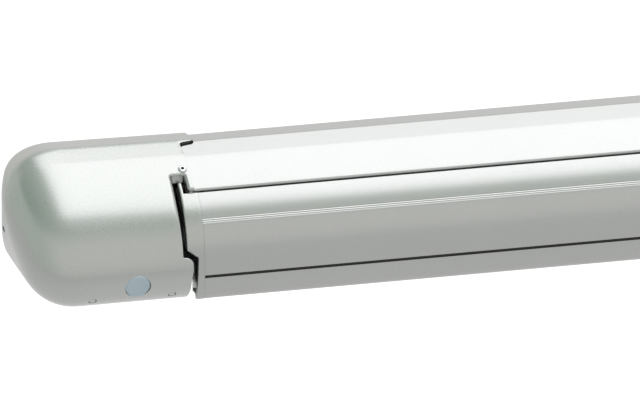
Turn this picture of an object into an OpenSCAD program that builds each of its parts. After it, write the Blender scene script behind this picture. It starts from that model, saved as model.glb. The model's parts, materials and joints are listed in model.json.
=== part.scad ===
// Roll out awning for a camper: a closed case with a folding-arm lead bar, a motorised roller and two legs.
// Frame: +X along the case, +Y towards the vehicle wall, +Z up; the origin is on the wall, mid length.

/* [Overall] */
// Length over both end caps
overall_length = 2600; // [2400:10:4500]
// Length of an end cap, from its outer end to its joint with the case
cap_length = 195; // [185:1:240]
// Depth from the back of the case to the front of the lead bar
case_depth = 150; // [148:1:170]
// Distance from the wall to the back of the case
wall_gap = 14; // [14:1:24]

/* [Case] */
// Height of the case crown above the bolt line
crown_z = 70.9; // [70:0.1:80]
// Distance of the crown crease behind the lead bar front
crown_back = 96.3; // [92:0.1:100]
// Width of the rear top strip
strip_w = 29.8; // [20:0.1:36]
// Width of the flat facet in front of the crease
facet_w = 28.1; // [26:0.1:30]
// Radius of the hood that runs down to the lip
hood_r = 126; // [118:1:140]
// Wall of the case extrusion
case_wall = 3; // [2:0.1:3.4]
// Outer underside of the case at its back
floor_z = -67; // [-72:0.5:-66]
// Width of the case floor
floor_w = 34; // [26:1:36]

/* [End caps] */
// Moulded wall of an end cap
cap_wall = 2.5; // [2:0.1:3]
// Radius of the front of an end cap, between its hood and its chin
bulge_r = 116; // [110:1:122]
// Radius under the front of an end cap
chin_r = 36.4; // [30:0.1:38]
// Rise of the crown of an end cap from its joint to its rounded end
crown_rise = 2.4; // [0:0.1:4]
// Length over which the end of a cap rounds off
end_round = 66; // [50:1:80]
// Share of the section that the rounded end takes in
end_taper = 0.6; // [0.4:0.02:0.66]
// Height of the domed end face
end_dome = 8; // [5:0.5:14]
// Radius of the override plug
plug_r = 13.5; // [11:0.1:15]
// Distance of the override plug from the end of the cap
plug_x = 124; // [118:1:134]
// Slope of the override plug below the horizontal
plug_slope = 20; // [14:1:26]

/* [Lead bar] */
// Height of the foremost line of the lead bar
front_z = -43; // [-48:0.5:-40]
// Height of the underside of the lead bar
base_z = -73; // [-76:0.5:-72]
// Radius of the lower front
belly_r = 260; // [220:5:320]
// Radius of the upper front
brow_r = 85; // [80:1:92]
// Wall of the lead bar skin
skin = 2.5; // [2:0.1:3]
// Depth of the end cap flange of the lead bar
flange_depth = 12; // [9:0.5:14]
// Length of a lead bar end cap
lead_end_w = 18; // [15:0.5:20]

/* [Roller] */
// Outer radius of the roller tube
tube_r = 30; // [26:0.5:32]
// Wall of the roller tube
tube_wall = 2; // [1.5:0.1:3]
// Outer radius of the wound fabric
roll_r = 35; // [33.5:0.5:36]
// Thickness of the fabric
fabric_t = 0.6; // [0.4:0.1:1]
// Radius of the tubular motor
motor_r = 22.5; // [18:0.5:23.5]
// Length of the tubular motor inside the roller
motor_len = 470; // [350:5:650]

/* [Arms] */
// Downward pitch of the plane the arms open in
pitch = 10; // [8:0.5:12]
// Distance of a shoulder from the end of the case
shoulder_in = 47; // [44:1:80]
// Depth of an arm bar
bar_d = 26; // [22:0.5:28]
// Height of an arm bar
bar_h = 34; // [30:0.5:36]
// Wall of an arm bar
bar_wall = 2.5; // [2:0.1:3.5]
// Distance between the two folded bars
fold_step = 36; // [34:0.5:38]
// Radius of the arm pivots' pins
pin_r = 5; // [4:0.25:6]
// Radius of the arm pivots' eyes
eye_r = 13; // [11:0.5:14]

/* [Legs] */
// Outer diameter of a leg
leg_d = 25; // [21:0.5:26]
// Wall of a leg tube
leg_wall = 1.8; // [1.2:0.1:2.4]
// Radius of a leg hinge pin
leg_pin_r = 4; // [3:0.25:5]
// Length of a folded leg from its hinge to its free end
leg_len = 950; // [860:5:970]

/* [Wall brackets] */
// Distance between the middle bracket and an outer bracket
bracket_pitch = 800; // [500:10:1000]
// Width of a wall bracket
bracket_w = 110; // [100:1:140]
// Distance between the two bolts of a bracket
bolt_pitch = 70; // [50:1:80]
// Radius of a bracket bolt hole
bolt_r = 3.25; // [2.5:0.05:4.5]

/* [Hidden] */
$fn = 48;

// Finishes, as the object shows them
silver = [0.72, 0.73, 0.72];
cast_grey = [0.55, 0.56, 0.57];
steel = [0.66, 0.67, 0.69];
black = [0.08, 0.08, 0.09];
pale_blue = [0.62, 0.69, 0.73];
cloth_grey = [0.62, 0.63, 0.64];
bronze = [0.7, 0.55, 0.3];

// Clearances and small shared sizes
fit = 0.05;
slip = 0.3;
seat = 0.1;
tiny = 0.01;
far = 400;

// Planes of the section
back_y = -wall_gap;
front_y = back_y - case_depth;
half_x = overall_length / 2;
joint_x = half_x - cap_length;
seam_gap = 4;
seam_x = joint_x - seam_gap;
case_lap = 2;
case_x = joint_x + case_lap;

// Arcs of the case top: strip, facet and hood, by the slope of each
strip_fall = 6;
facet_fall = 14.6;
hood_from = 110.3;
hood_to = 130;
crease = [front_y + crown_back, crown_z];
strip_end = crease + strip_w * [cos(strip_fall), -sin(strip_fall)];
corner_r = (back_y - strip_end[0]) / (1 - sin(strip_fall));
corner_c = strip_end - corner_r * [sin(strip_fall), cos(strip_fall)];
facet_end = crease - facet_w * [cos(facet_fall), sin(facet_fall)];
hood_c = facet_end - hood_r * [cos(hood_from), sin(hood_from)];
crease_n = 90 + (facet_fall - strip_fall) / 2;
lip_a = [126, hood_to - 0.3];
lip_t = 1.5;

// Floor of the case
floor_fall = 3.4;
floor_r = 10;
floor_a = 270 + floor_fall;
floor_c = [back_y - floor_r, floor_z + floor_r];

// Arcs of the lead bar front: brow, belly and toe
belly_rise = 25;
brow_top = 47;
fin_top = 58;
fin_w = 2.4;
toe_r = 5;
belly_c = [front_y + belly_r, front_z];
belly_a = asin(belly_rise / belly_r);
brow_c = belly_c + (belly_r - brow_r) * [-cos(belly_a), sin(belly_a)];
toe_drop = front_z - base_z - toe_r;
toe_a = asin(toe_drop / (belly_r - toe_r));
toe_c = belly_c - (belly_r - toe_r) * [cos(toe_a), sin(toe_a)];
bulge_from = 123;
bulge_to = 173;
bulge_c = pt(hood_c, hood_r - bulge_r, bulge_from);
chin_c = pt(bulge_c, bulge_r - chin_r, bulge_to);
chin_to = 271;
cap_proud = cap_wall + seat;

// Screw ports of the case, for the end plates
port_r = 4.6;
port_bore = 2.1;
port_in = case_wall + 4;
port_a = [45, 114];
port_low = [back_y - case_wall - 3.6, floor_z + 57];

// Openings in an end cap, measured along the case from the lead bar seam
recess_left = 25.5;
recess_right = 9;
recess_top_a = 121;
tongue_low = 14.7;
tongue_top = front_z + 21.5;
tongue_slant = [7, 6.5];
tongue_reach = 14.5;
tongue_front = front_y + 86;
screw_back = 11.7;
screw_a = 119.9;
screw_lift = crown_rise / 6;
end_c = [front_y + 74, 20];
end_power = 2.2;
face_a = 69;
face_power = 1.78;
face_steps = [0.8, 0.6, 0.4, 0.2, 0.05];
cover_x = [-seam_x - 122.5, -seam_x - 36];
cover_a = 224;
cover_r = 3.7;
cover_t = 4;
cover_sink = 0.4;
cover_end = [front_y + 87, -5];
cover_set = 4.2;
gland_at = [-half_x + 100, back_y, floor_z + 30];
gland_r = 6.2;
gland_hex = 8.5;

// Button-head screws
button_r = 4.75;
button_h = 2.8;
button_rim = 0.5;
button_shank = 2.5;
button_key = 1.75;
lug_w = 11;
lug_deep = 13;

// Lead bar interior: the leg channel, its roof, the box wall and the bead groove
leg_room = 2.5;
cheek = 2.5;
slot_deep = 4;
slot_wall = 2;
channel_front = front_y + slot_deep + slot_wall + slip;
cheek_room = 1 + slip;
leg_y = channel_front + cheek + cheek_room + leg_d / 2;
leg_z = base_z + 3 + leg_d / 2;
rear_wall_y = leg_y + leg_d / 2 + cheek_room + cheek;
roof_z = leg_z + leg_d / 2 + leg_room;
box_wall_y = front_y + 23;
bead_r = 3.2;
bead_ring = bead_r + 2.6;
bead_c = [front_y + 36, front_z + 70];
web_z = bead_c[1] - bead_ring;
slot_z = front_z - 4.3;
slot_h = 3.1;
step_z = front_z + 15;
step_rise = 7.5;
step_x = 7.4;
end_face = 3;
end_proud = 0.4;
groove_a = 26.3;
groove_pitch = 1.35;
groove_r = 0.5;

// Roller and canopy
roll_c = [back_y - 46, floor_z + 82];
tube_x = case_x - 7;
cloth_x = tube_x - 10;
run_gap = 0.06;
bead_span = norm(bead_c - roll_c);
bead_dir = atan2(bead_c[1] - roll_c[1], bead_c[0] - roll_c[0]);
leave_a = bead_dir - acos((roll_r + slip) / bead_span);
leave_pt = roll_c + (roll_r + slip) * [cos(leave_a), sin(leave_a)];
cloth_dir = atan2(leave_pt[1] - bead_c[1], leave_pt[0] - bead_c[0]);
plate_t = 5;
plate_x = case_x + plate_t;
plate_front = front_y + 64;
head_len = 78;
head_r = 29;
head_bore = 40;
shaft_r = 8;
idler_r = 7;
idler_in = 34;
bush_t = 3;

// Arms: shoulder, elbow and wrist pivots in the pitched plane
shoulder_x = case_x - shoulder_in;
shoulder_y = back_y - 32;
shoulder_z = floor_z + 25;
elbow_gap = 40;
arm_x = shoulder_x - elbow_gap;
tongue_h = bar_h / 2 - 7.7;
ear_lo = tongue_h + 0.2;
collar_from = 24;
collar_len = 6;
plug_len = 30;
elbow_y = -fold_step / 2;
spring_len = 480;
foot_w = 52;
foot_t = 5;
foot_h = 37;
wrist_foot_h = 36;
wrist_drop = 29;
ear_reach = 70;

// Legs
hinge_x = seam_x - 36;
knuckle_len = 34;
inner_r = leg_d / 2 - leg_wall - slip / 2;
foot_len = 28;
hinge_r = 9.5;
bracket_d = leg_d + 2 * (cheek_room + cheek);
hinge_w = 26;
collar_z = knuckle_len - 12;
inner_from = knuckle_len + 24;

// Override drive behind its plug
plug_c = chin_c + (chin_r + cap_proud) * [-cos(plug_slope), -sin(plug_slope)];
plug_sink = 1.2;
plug_deep = 14;
shaft_from = 24;
shaft_to = 101;
box_from = 66;
box_to = 100;
drive_r = 6;

// Wall brackets and their hook on the case
hook_t = 3;
hook_out = 8;
hook_z = 34;
hook_drop = 10;
bracket_t = 5;
tongue_z = hook_z - hook_drop - 12;
pad_lo = -46;
pad_hi = -28;
pad_z = (pad_lo + pad_hi) / 2;
screw_r = 3;
screw_head = 6;

function pt(c, r, a) = [c[0] + r * cos(a), c[1] + r * sin(a)];
function arc(c, r, a0, a1, n) = [for (i = [0:n]) pt(c, r, a0 + (a1 - a0) * i / n)];
function flip(v) = [for (i = [len(v) - 1:-1:0]) v[i]];

// Case top from the back corner to the lip, set in by t
function top_path(t, to) = concat(
  arc(corner_c, corner_r - t, 0, 90 - strip_fall, 10),
  [pt(crease, -t, crease_n)],
  arc(hood_c, hood_r - t, hood_from, to, 14));

// Front edge of the case floor, set in by t
function floor_edge(t) = pt(floor_c, floor_r - t, floor_a) - floor_w * [cos(floor_fall), sin(floor_fall)];

// Whole case wall from the floor's front edge to the lip, set in by t
function case_path(t) = concat(
  [floor_edge(t)],
  arc(floor_c, floor_r - t, floor_a, 360, 6),
  top_path(t, hood_to));

// Lead bar front from an angle on the brow down to the toe, set in by t
function skin_path(t, top) = concat(
  arc(brow_c, brow_r - t, 180 - top, 180 - belly_a, 16),
  arc(belly_c, belly_r - t, 180 - belly_a, 180 + toe_a, 12),
  arc(toe_c, max(toe_r - t, tiny), 180 + toe_a, 270, 4));

// Closed section of an end cap, set in by t
function cap_path(t) = concat(
  top_path(t, bulge_from),
  arc(bulge_c, bulge_r - t, bulge_from + 2.5, bulge_to, 18),
  arc(chin_c, chin_r - t, bulge_to + 6, chin_to, 15),
  [floor_edge(t)],
  arc(floor_c, floor_r - t, floor_a, 360, 6));

// Rounded end of a cap: distance from the end and size of the section there, then the domed face
function edge_x(a) = end_dome + (end_round - end_dome) * (1 - pow(sin(a), 2 / end_power));
function edge_size(a) = 1 - end_taper * (1 - pow(cos(a), 2 / end_power));
function end_steps() = concat(
  [for (i = [0:8]) let (a = face_a * i / 8) [edge_x(a), edge_size(a)]],
  [for (k = face_steps) [edge_x(face_a) * pow(k, face_power), edge_size(face_a) * k]]);

// Share of the crown's rise that a point of the section takes, by its height
function crown_share(z) = max(0, min(1, (z - end_c[1]) / (crown_z - end_c[1])));

// Draws a Y,Z outline and runs it along X from x0 to x1
module run_x(x0, x1) translate([x0, 0, 0]) rotate([90, 0, 90]) linear_extrude(x1 - x0) children();

// Puts a bar along X through the point yz
module rod_x(yz, r, x0, x1) translate([x0, yz[0], yz[1]]) rotate([0, 90, 0]) cylinder(r = r, h = x1 - x0);

// Turns the local +Z axis to the outward normal at angle a of the Y,Z section
module on_skin(x, yz, a) translate([x, yz[0], yz[1]]) rotate([a - 90, 0, 0]) children();

module both_sides() {
  children();
  mirror([1, 0, 0]) children();
}

ports = [pt(corner_c, corner_r - port_in, port_a[0]), pt(hood_c, hood_r - port_in, port_a[1]), port_low];

module case_profile() color(silver) difference() {
  union() {
    run_x(-case_x, case_x) difference() {
      union() {
        polygon(concat(case_path(0), flip(case_path(case_wall))));
        for (p = ports) translate(p) circle(r = port_r);
      }
      for (p = ports) translate(p) circle(r = port_bore);
    }
    run_x(-joint_x + seam_gap, joint_x - seam_gap) {
      translate([back_y - tiny, hook_z]) square([hook_out, hook_t]);
      translate([back_y + hook_out - hook_t, hook_z - hook_drop]) square([hook_t, hook_drop + tiny]);
    }
  }
  for (x = [-1, 0, 1]) translate([x * bracket_pitch, back_y + 1, pad_z])
    rotate([90, 0, 0]) cylinder(r = screw_r + 2 * seat, h = case_wall + 2);
}

module lip_seal() color(black) run_x(-case_x, case_x)
  polygon(concat(arc(hood_c, hood_r - case_wall - fit, lip_a[0], lip_a[1], 4),
    flip(arc(hood_c, hood_r - case_wall - lip_t, lip_a[0], lip_a[1], 4))));

// Body of a left cap from its rounded end to x1, set in by t: rings of the section joined by triangles
module cap_body(t, x1, inset) {
  path = cap_path(t);
  m = len(path);
  steps = concat(flip(end_steps()), [[x1 + half_x - inset, 1]]);
  rings = len(steps);
  points = [for (i = [0:rings - 1]) for (p = path)
    let (s = steps[i], r = [p[0], p[1] + (i < rings - 1 ? crown_rise * crown_share(p[1]) : 0)])
    let (q = end_c + s[1] * (r - end_c)) [s[0] + inset - half_x, q[0], q[1]]];
  sides = [for (i = [0:rings - 2]) for (j = [0:m - 1])
    let (a = i * m + j, b = i * m + (j + 1) % m) each [[a, a + m, b + m], [a, b + m, b]]];
  ends = [[for (j = [0:m - 1]) j], [for (j = [m - 1:-1:0]) (rings - 1) * m + j]];
  polyhedron(points, concat(sides, ends));
}

// Front view of what is cut out of the cap for the lead bar end
module cap_recess() translate([0, front_y - 20, 0]) rotate([-90, 0, 0]) mirror([0, 1, 0])
  linear_extrude(82) polygon([
    [-seam_x - recess_left, pt(hood_c, hood_r, recess_top_a)[1]],
    [-seam_x - recess_right, pt(hood_c, hood_r, recess_top_a)[1]],
    [-seam_x - recess_right, pt(hood_c, hood_r, hood_to)[1]],
    [-seam_x + far, pt(hood_c, hood_r, hood_to)[1]],
    [-seam_x + far, -far], [-seam_x - tongue_low, -far],
    [-seam_x - tongue_low, tongue_top - tongue_slant[1]],
    [-seam_x - tongue_low - tongue_slant[0], tongue_top],
    [-seam_x - recess_left, tongue_top]]);

// Plan view of the tongue that laps over the case top
module cap_trim() difference() {
  translate([-joint_x, front_y - 20, -far / 2]) cube(far);
  translate([-joint_x - tiny, tongue_front, 0]) cube([tongue_reach, crease[0] + 40 - tongue_front, far]);
}

// Places of the screw, the override drive and the covers on a left cap
module at_screw(out) on_skin(-seam_x - screw_back, pt(hood_c, hood_r + out, screw_a), screw_a) children();
module at_cover(x) on_skin(x, pt(chin_c, chin_r + cap_proud, cover_a), cover_a) children();
module override_axis() on_skin(-half_x + plug_x, plug_c, 180 + plug_slope) children();
module bore(r, from, to) translate([0, 0, from]) cylinder(r = r, h = to - from);

module left_cap_shell(plug) difference() {
  cap_body(-cap_proud, -joint_x + tongue_reach + 1, 0);
  difference() {
    cap_body(-seat, -joint_x + tongue_reach + 3, cap_wall);
    if (plug) override_axis() bore(plug_r + cap_wall, -plug_deep - 8, 5);
  }
  cap_trim();
  cap_recess();
  at_screw(0) bore(button_shank + 2 * seat, -10, 10);
  for (x = cover_x) at_cover(x) bore(cover_r + seat, -10, 10);
  translate([-half_x, cover_end[0], cover_end[1]]) rotate([0, 90, 0]) bore(cover_r + seat, -5, 15);
  if (plug) {
    override_axis() bore(plug_r + slip, -plug_deep - 20, 20);
    translate(gland_at) rotate([-90, 0, 0]) bore(gland_r, -5, 15);
  }
}
module left_end_cap() color(silver) left_cap_shell(true);
module right_end_cap() color(silver) mirror([1, 0, 0]) left_cap_shell(false);

module cover_set_left() {
  for (x = cover_x) at_cover(x) bore(cover_r, -cover_sink - cover_t, -cover_sink);
  translate([-half_x, cover_end[0], cover_end[1]]) rotate([0, 90, 0])
    bore(cover_r, cover_set, cover_set + cover_t);
}
module cover_plugs() color(silver) both_sides() cover_set_left();

module cap_screw() at_screw(cap_proud + screw_lift) difference() {
  union() {
    bore(button_shank, -lug_deep, 2 * seat);
    rotate_extrude() polygon(concat([[0, 0], [button_r, 0], [button_r, button_rim]],
      [for (a = [20:20:80]) [button_r * cos(a), button_rim + (button_h - button_rim) * sin(a)]],
      [[0, button_h]]));
  }
  translate([0, 0, 1]) cylinder(r = button_key, h = button_h, $fn = 6);
}
module cap_screws() color(steel) both_sides() cap_screw();

// Plate that closes the end of the case and carries the roller, with a lug for the cap screw
module plate_outline() intersection() {
  polygon(cap_path(slip));
  polygon([[back_y - 0.5, -far], [plate_front, -far], [plate_front, crown_z - 41],
    [plate_front - 20, crown_z - 26], [plate_front - 20, far], [back_y - 0.5, far]]);
}
module end_plate(hub_r) difference() {
  union() {
    run_x(-plate_x, -case_x - tiny) difference() {
      plate_outline();
      translate(roll_c) circle(r = hub_r);
      for (p = ports) translate(p) circle(r = port_bore + 2 * seat);
    }
    intersection() {
      at_screw(0) translate([-lug_w / 2, -lug_w / 2, -lug_deep]) cube([lug_w, lug_w, lug_deep - 1.5]);
      translate([-case_x - tiny - far, -far, -far]) cube([far, 2 * far, 2 * far]);
    }
  }
  at_screw(0) bore(button_shank + fit, -lug_deep - 1, 10);
}
module left_end_plate() color(steel) end_plate(motor_r + seat);
module right_end_plate() color(steel) mirror([1, 0, 0]) end_plate(idler_r + seat);

module plate_screws() color(steel) both_sides() for (p = ports) {
  rod_x(p, 3.6, -plate_x - 2.6, -plate_x);
  rod_x(p, port_bore - seat, -plate_x - tiny, -case_x + 12);
}

module motor_head() color(cast_grey) difference() {
  rod_x(roll_c, head_r, -plate_x - head_len, -plate_x);
  rod_x(roll_c, motor_r + seat, -plate_x - head_bore, -case_x);
  translate([-plate_x - head_len - 1, roll_c[0] - 6, roll_c[1] - 6]) cube([12, 12, 12]);
}
module motor_tube() color(cast_grey) difference() {
  rod_x(roll_c, motor_r, -plate_x - head_bore + seat, -case_x + motor_len);
  rod_x(roll_c, shaft_r + run_gap, -case_x + motor_len - 45, -case_x + motor_len + 1);
}

// Override drive: a gearbox under the motor head, its hexagon-socket shaft and the plug that hides it
module override_gearbox() color(cast_grey) difference() {
  override_axis() union() {
    translate([-13, -12, -box_to]) cube([26, 24, box_to - box_from]);
    translate([0, -9, -box_to + 4]) cube([half_x - plate_x - plug_x, 18, 18]);
  }
  override_axis() bore(drive_r + run_gap, -far / 2, far / 2);
}
module override_shaft() color(steel) override_axis() difference() {
  union() {
    bore(drive_r, -shaft_to, -shaft_from);
    bore(drive_r + 2, -box_from + slip, -box_from + slip + 3);
  }
  translate([0, 0, -shaft_from - 16]) cylinder(r = 4.1, h = 20, $fn = 6);
}
module override_plug() color(pale_blue) override_axis() difference() {
  union() {
    bore(plug_r, -plug_sink - 3, -plug_sink);
    bore(plug_r - 1.5, -plug_deep - plug_sink, -plug_sink - 3 + tiny);
  }
  bore(plug_r - 3.5, -plug_deep - plug_sink - 1, -plug_sink - 3);
}

module cable_gland() color(black) translate(gland_at + [0, cap_proud, 0]) rotate([-90, 0, 0]) difference() {
  union() {
    cylinder(r = gland_hex, h = 6, $fn = 6);
    bore(gland_r - seat, -8, tiny);
  }
  bore(3.2, -9, 20);
}

// Roller
module roller_tube() color(steel) difference() {
  rod_x(roll_c, tube_r, -tube_x, tube_x);
  rod_x(roll_c, tube_r - tube_wall, -tube_x - 1, tube_x + 1);
}
module fabric_roll() color(cloth_grey) difference() {
  rod_x(roll_c, roll_r, -cloth_x - 2, cloth_x + 2);
  rod_x(roll_c, tube_r + seat, -tube_x, tube_x);
}
module crown_adapter() color(black) difference() {
  union() {
    rod_x(roll_c, tube_r - tube_wall - fit, -tube_x - 3, -tube_x + 22);
    rod_x(roll_c, tube_r + 1.5, -tube_x - 4, -tube_x);
  }
  rod_x(roll_c, motor_r + run_gap, -tube_x - 10, -tube_x + 30);
}
module drive_wheel() color(black) union() {
  rod_x(roll_c, tube_r - tube_wall - fit, -case_x + motor_len + 1.5, -case_x + motor_len + 24);
  rod_x(roll_c, shaft_r, -case_x + motor_len - 40, -case_x + motor_len + 2);
}
module idler_plug() color(black) difference() {
  union() {
    rod_x(roll_c, tube_r - tube_wall - fit, tube_x - 40, tube_x + 1);
    rod_x(roll_c, tube_r + 1.5, tube_x, tube_x + 4);
  }
  rod_x(roll_c, idler_r + bush_t + fit, tube_x - 50, tube_x + 10);
}
module idler_bush() color(bronze) difference() {
  rod_x(roll_c, idler_r + bush_t, tube_x - 28, tube_x + 4);
  rod_x(roll_c, idler_r + run_gap, tube_x - 30, tube_x + 6);
}
module idler_pin() color(steel) {
  rod_x(roll_c, idler_r, tube_x - idler_in, plate_x);
  rod_x(roll_c, idler_r + 5, plate_x, plate_x + 6);
}
module canopy_fabric() color(cloth_grey) run_x(-cloth_x, cloth_x) {
  n = cloth_dir + 90;
  a = pt(bead_c, bead_r + slip, cloth_dir);
  polygon([pt(a, fabric_t / 2, n), pt(leave_pt, fabric_t, n), pt(leave_pt, 0, n), pt(a, -fabric_t / 2, n)]);
}

// Arms, in a plane that falls forward by the pitch: local x inwards, local y back, local z up
module arm_plane() translate([-shoulder_x, shoulder_y, shoulder_z]) rotate([pitch, 0, 0]) children();
module bar_block(x0, x1, y, d, h) translate([x0, y - d / 2, -h / 2]) cube([x1 - x0, d, h]);
module bar_tube(y) difference() {
  bar_block(collar_from + collar_len, arm_x - collar_from - collar_len, y, bar_d, bar_h);
  bar_block(0, arm_x, y, bar_d - 2 * bar_wall, bar_h - 2 * bar_wall);
}
// Plug and collar that close a bar end; side is -1 at the outer end and 1 at the inner end
module bar_end(y, side) {
  x = side < 0 ? collar_from : arm_x - collar_from;
  bar_block(min(x, x - side * collar_len), max(x, x - side * collar_len), y, bar_d, bar_h);
  bar_block(min(x, x - side * (collar_len + plug_len)), max(x, x - side * (collar_len + plug_len)), y,
    bar_d - 2 * bar_wall - 2 * fit, bar_h - 2 * bar_wall - 2 * fit);
}
module pin_hole(x, y, gap) translate([x, y, -far / 2]) cylinder(r = pin_r + gap, h = far);
module arm_pin(x, y) {
  translate([x, y, -bar_h / 2]) cylinder(r = pin_r, h = bar_h);
  for (s = [-1, 1]) translate([x, y, s * (bar_h / 2 + 1)]) cylinder(r = pin_r + 2, h = 2, center = true);
}
// Single eye at an outer bar end
module eye_knuckle(y, gap) difference() {
  union() {
    bar_end(y, -1);
    translate([0, y, -tongue_h]) cylinder(r = eye_r - 0.3, h = 2 * tongue_h);
    bar_block(0, collar_from + 1, y, 1.5 * eye_r, 2 * tongue_h);
  }
  pin_hole(0, y, gap);
}
module ears(lo, hi) {
  translate([0, 0, lo]) linear_extrude(hi - lo) children();
  translate([0, 0, -hi]) linear_extrude(hi - lo) children();
}
module left_fork() difference() {
  union() {
    bar_end(0, 1);
    ears(ear_lo, bar_h / 2) {
      translate([arm_x, elbow_y]) circle(r = eye_r);
      polygon([[arm_x - collar_from - 1, bar_d / 2], [arm_x - collar_from - 1, -bar_d / 2 + 2],
        [arm_x - 0.75 * eye_r, elbow_y - 0.65 * eye_r], [arm_x, elbow_y],
        [arm_x + 0.5 * eye_r, elbow_y + 0.86 * eye_r]]);
    }
  }
  pin_hole(arm_x, elbow_y, fit);
}
module left_tongue() difference() {
  union() {
    bar_end(-fold_step, 1);
    translate([0, 0, -tongue_h]) linear_extrude(2 * tongue_h) {
      translate([arm_x, elbow_y]) circle(r = eye_r - 0.3);
      polygon([[arm_x - collar_from - 1, -fold_step - bar_d / 2],
        [arm_x - collar_from - 1, -fold_step + bar_d / 2 - 1],
        [arm_x - 0.7 * eye_r, elbow_y + 0.65 * eye_r], [arm_x, elbow_y],
        [arm_x + 0.4 * eye_r, elbow_y - 0.86 * eye_r]]);
    }
  }
  pin_hole(arm_x, elbow_y, run_gap);
}
module arm_spring() {
  coil_r = (bar_d - 2 * bar_wall) / 2 - slip;
  x1 = arm_x - collar_from - collar_len - plug_len;
  translate([x1 - spring_len, 0, 0]) rotate([0, 90, 0]) difference() {
    cylinder(r = coil_r, h = spring_len);
    bore(coil_r - 3, -1, spring_len + 1);
  }
}
module left_upper_arm_tube() color(silver) arm_plane() bar_tube(0);
module left_shoulder_knuckle() color(cast_grey) arm_plane() eye_knuckle(0, run_gap);
module left_elbow_fork() color(cast_grey) arm_plane() left_fork();
module left_elbow_pin() color(steel) arm_plane() arm_pin(arm_x, elbow_y);
module left_arm_spring() color(steel) arm_plane() arm_spring();
module left_forearm_tube() color(silver) arm_plane() bar_tube(-fold_step);
module left_elbow_tongue() color(cast_grey) arm_plane() left_tongue();
module left_wrist_knuckle() color(cast_grey) arm_plane() eye_knuckle(-fold_step, run_gap);
module right_upper_arm_tube() mirror([1, 0, 0]) left_upper_arm_tube();
module right_shoulder_knuckle() mirror([1, 0, 0]) left_shoulder_knuckle();
module right_elbow_fork() mirror([1, 0, 0]) left_elbow_fork();
module right_elbow_pin() mirror([1, 0, 0]) left_elbow_pin();
module right_arm_spring() mirror([1, 0, 0]) left_arm_spring();
module right_forearm_tube() mirror([1, 0, 0]) left_forearm_tube();
module right_elbow_tongue() mirror([1, 0, 0]) left_elbow_tongue();
// The right wrist is where the closed linkage is opened, so its eye runs with more play
module right_wrist_knuckle() color(cast_grey) mirror([1, 0, 0]) arm_plane() eye_knuckle(-fold_step, slip);

module shoulder_bracket() difference() {
  union() {
    translate([-shoulder_x - foot_w / 2, back_y - case_wall - foot_t, floor_z + floor_r + seat])
      cube([foot_w, foot_t, foot_h]);
    arm_plane() ears(ear_lo, bar_h / 2) {
      circle(r = eye_r);
      translate([-eye_r, 0]) square([2 * eye_r, 32]);
    }
  }
  translate([-shoulder_x - far / 2, back_y - case_wall, -far / 2]) cube(far);
  arm_plane() pin_hole(0, 0, fit);
}
module shoulder_brackets() color(cast_grey) both_sides() shoulder_bracket();
module shoulder_pins() color(steel) both_sides() arm_plane() arm_pin(0, 0);

module wrist_bracket() difference() {
  union() {
    translate([-shoulder_x - foot_w / 2, rear_wall_y + skin, roof_z - wrist_drop])
      cube([foot_w, foot_t, wrist_foot_h]);
    arm_plane() ears(ear_lo, bar_h / 2) {
      translate([0, -fold_step]) circle(r = eye_r);
      translate([-eye_r, -fold_step - ear_reach]) square([2 * eye_r, ear_reach]);
    }
  }
  translate([-shoulder_x - far / 2, rear_wall_y + skin - far, -far / 2]) cube(far);
  arm_plane() pin_hole(0, -fold_step, fit);
}
module wrist_brackets() color(cast_grey) both_sides() wrist_bracket();
module wrist_pins() color(steel) both_sides() arm_plane() arm_pin(0, -fold_step);

// Lead bar
module lead_bar_section() difference() {
  union() {
    polygon(concat(skin_path(0, brow_top), flip(skin_path(skin, brow_top))));
    translate([front_y + 1.5, roof_z]) square([rear_wall_y + skin - front_y - 1.5, skin]);
    translate([rear_wall_y, base_z]) square([skin, roof_z - base_z + tiny]);
    translate([box_wall_y, roof_z]) square([skin, web_z - roof_z + tiny]);
    intersection() {
      translate([front_y, web_z]) square([bead_c[0] - front_y, skin]);
      polygon(concat(skin_path(tiny, brow_top), [[bead_c[0], base_z], [bead_c[0], far]]));
    }
    translate(bead_c) circle(r = bead_ring);
    translate([front_y + 1, slot_z - slot_h / 2 - slot_wall])
      square([slot_deep + slot_wall - 1, slot_h + 2 * slot_wall]);
  }
  translate(bead_c) circle(r = bead_r + seat);
  translate(bead_c) rotate(cloth_dir) translate([0, -1.4]) square([far, 2.8]);
  translate([front_y - 2, slot_z - slot_h / 2]) square([slot_deep + 2, slot_h]);
  for (i = [-1:1]) translate(pt(brow_c, brow_r, 180 - groove_a + i * groove_pitch)) circle(r = groove_r);
}
module lead_bar_profile() color(silver) run_x(-seam_x, seam_x) lead_bar_section();
module front_strip() color(black) run_x(-seam_x, seam_x)
  translate([front_y + 1, slot_z - slot_h / 2 + seat]) square([slot_deep - 1 - seat, slot_h - 2 * seat]);
module front_bead() color(black) rod_x(bead_c, bead_r, -cloth_x, cloth_x);

// End cap of the lead bar: a face on the extrusion's end and a flange, stepped back over its lower half
module lead_end() difference() {
  union() {
    run_x(-seam_x - end_face, -seam_x - tiny) polygon(concat(skin_path(-end_proud, brow_top - 1),
      [[rear_wall_y + skin, base_z], [rear_wall_y + skin, roof_z + skin], [box_wall_y + skin, roof_z + skin],
       [box_wall_y + skin, web_z]]));
    run_x(-seam_x - lead_end_w, -seam_x - end_face + tiny)
      polygon(concat(skin_path(-end_proud, fin_top), flip(skin_path(flange_depth, fin_top))));
  }
  translate([-seam_x - lead_end_w + fin_w, front_y - 20, pt(brow_c, brow_r, 180 - brow_top)[1]]) cube(far);
  translate([0, front_y - 20, 0]) rotate([-90, 0, 0]) mirror([0, 1, 0]) linear_extrude(far) polygon([
    [-seam_x - far, step_z + step_rise], [-seam_x - lead_end_w, step_z + step_rise],
    [-seam_x - step_x, step_z], [-seam_x - step_x, -far], [-seam_x - far, -far]]);
}
module lead_bar_left_end() color(silver) lead_end();
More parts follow.
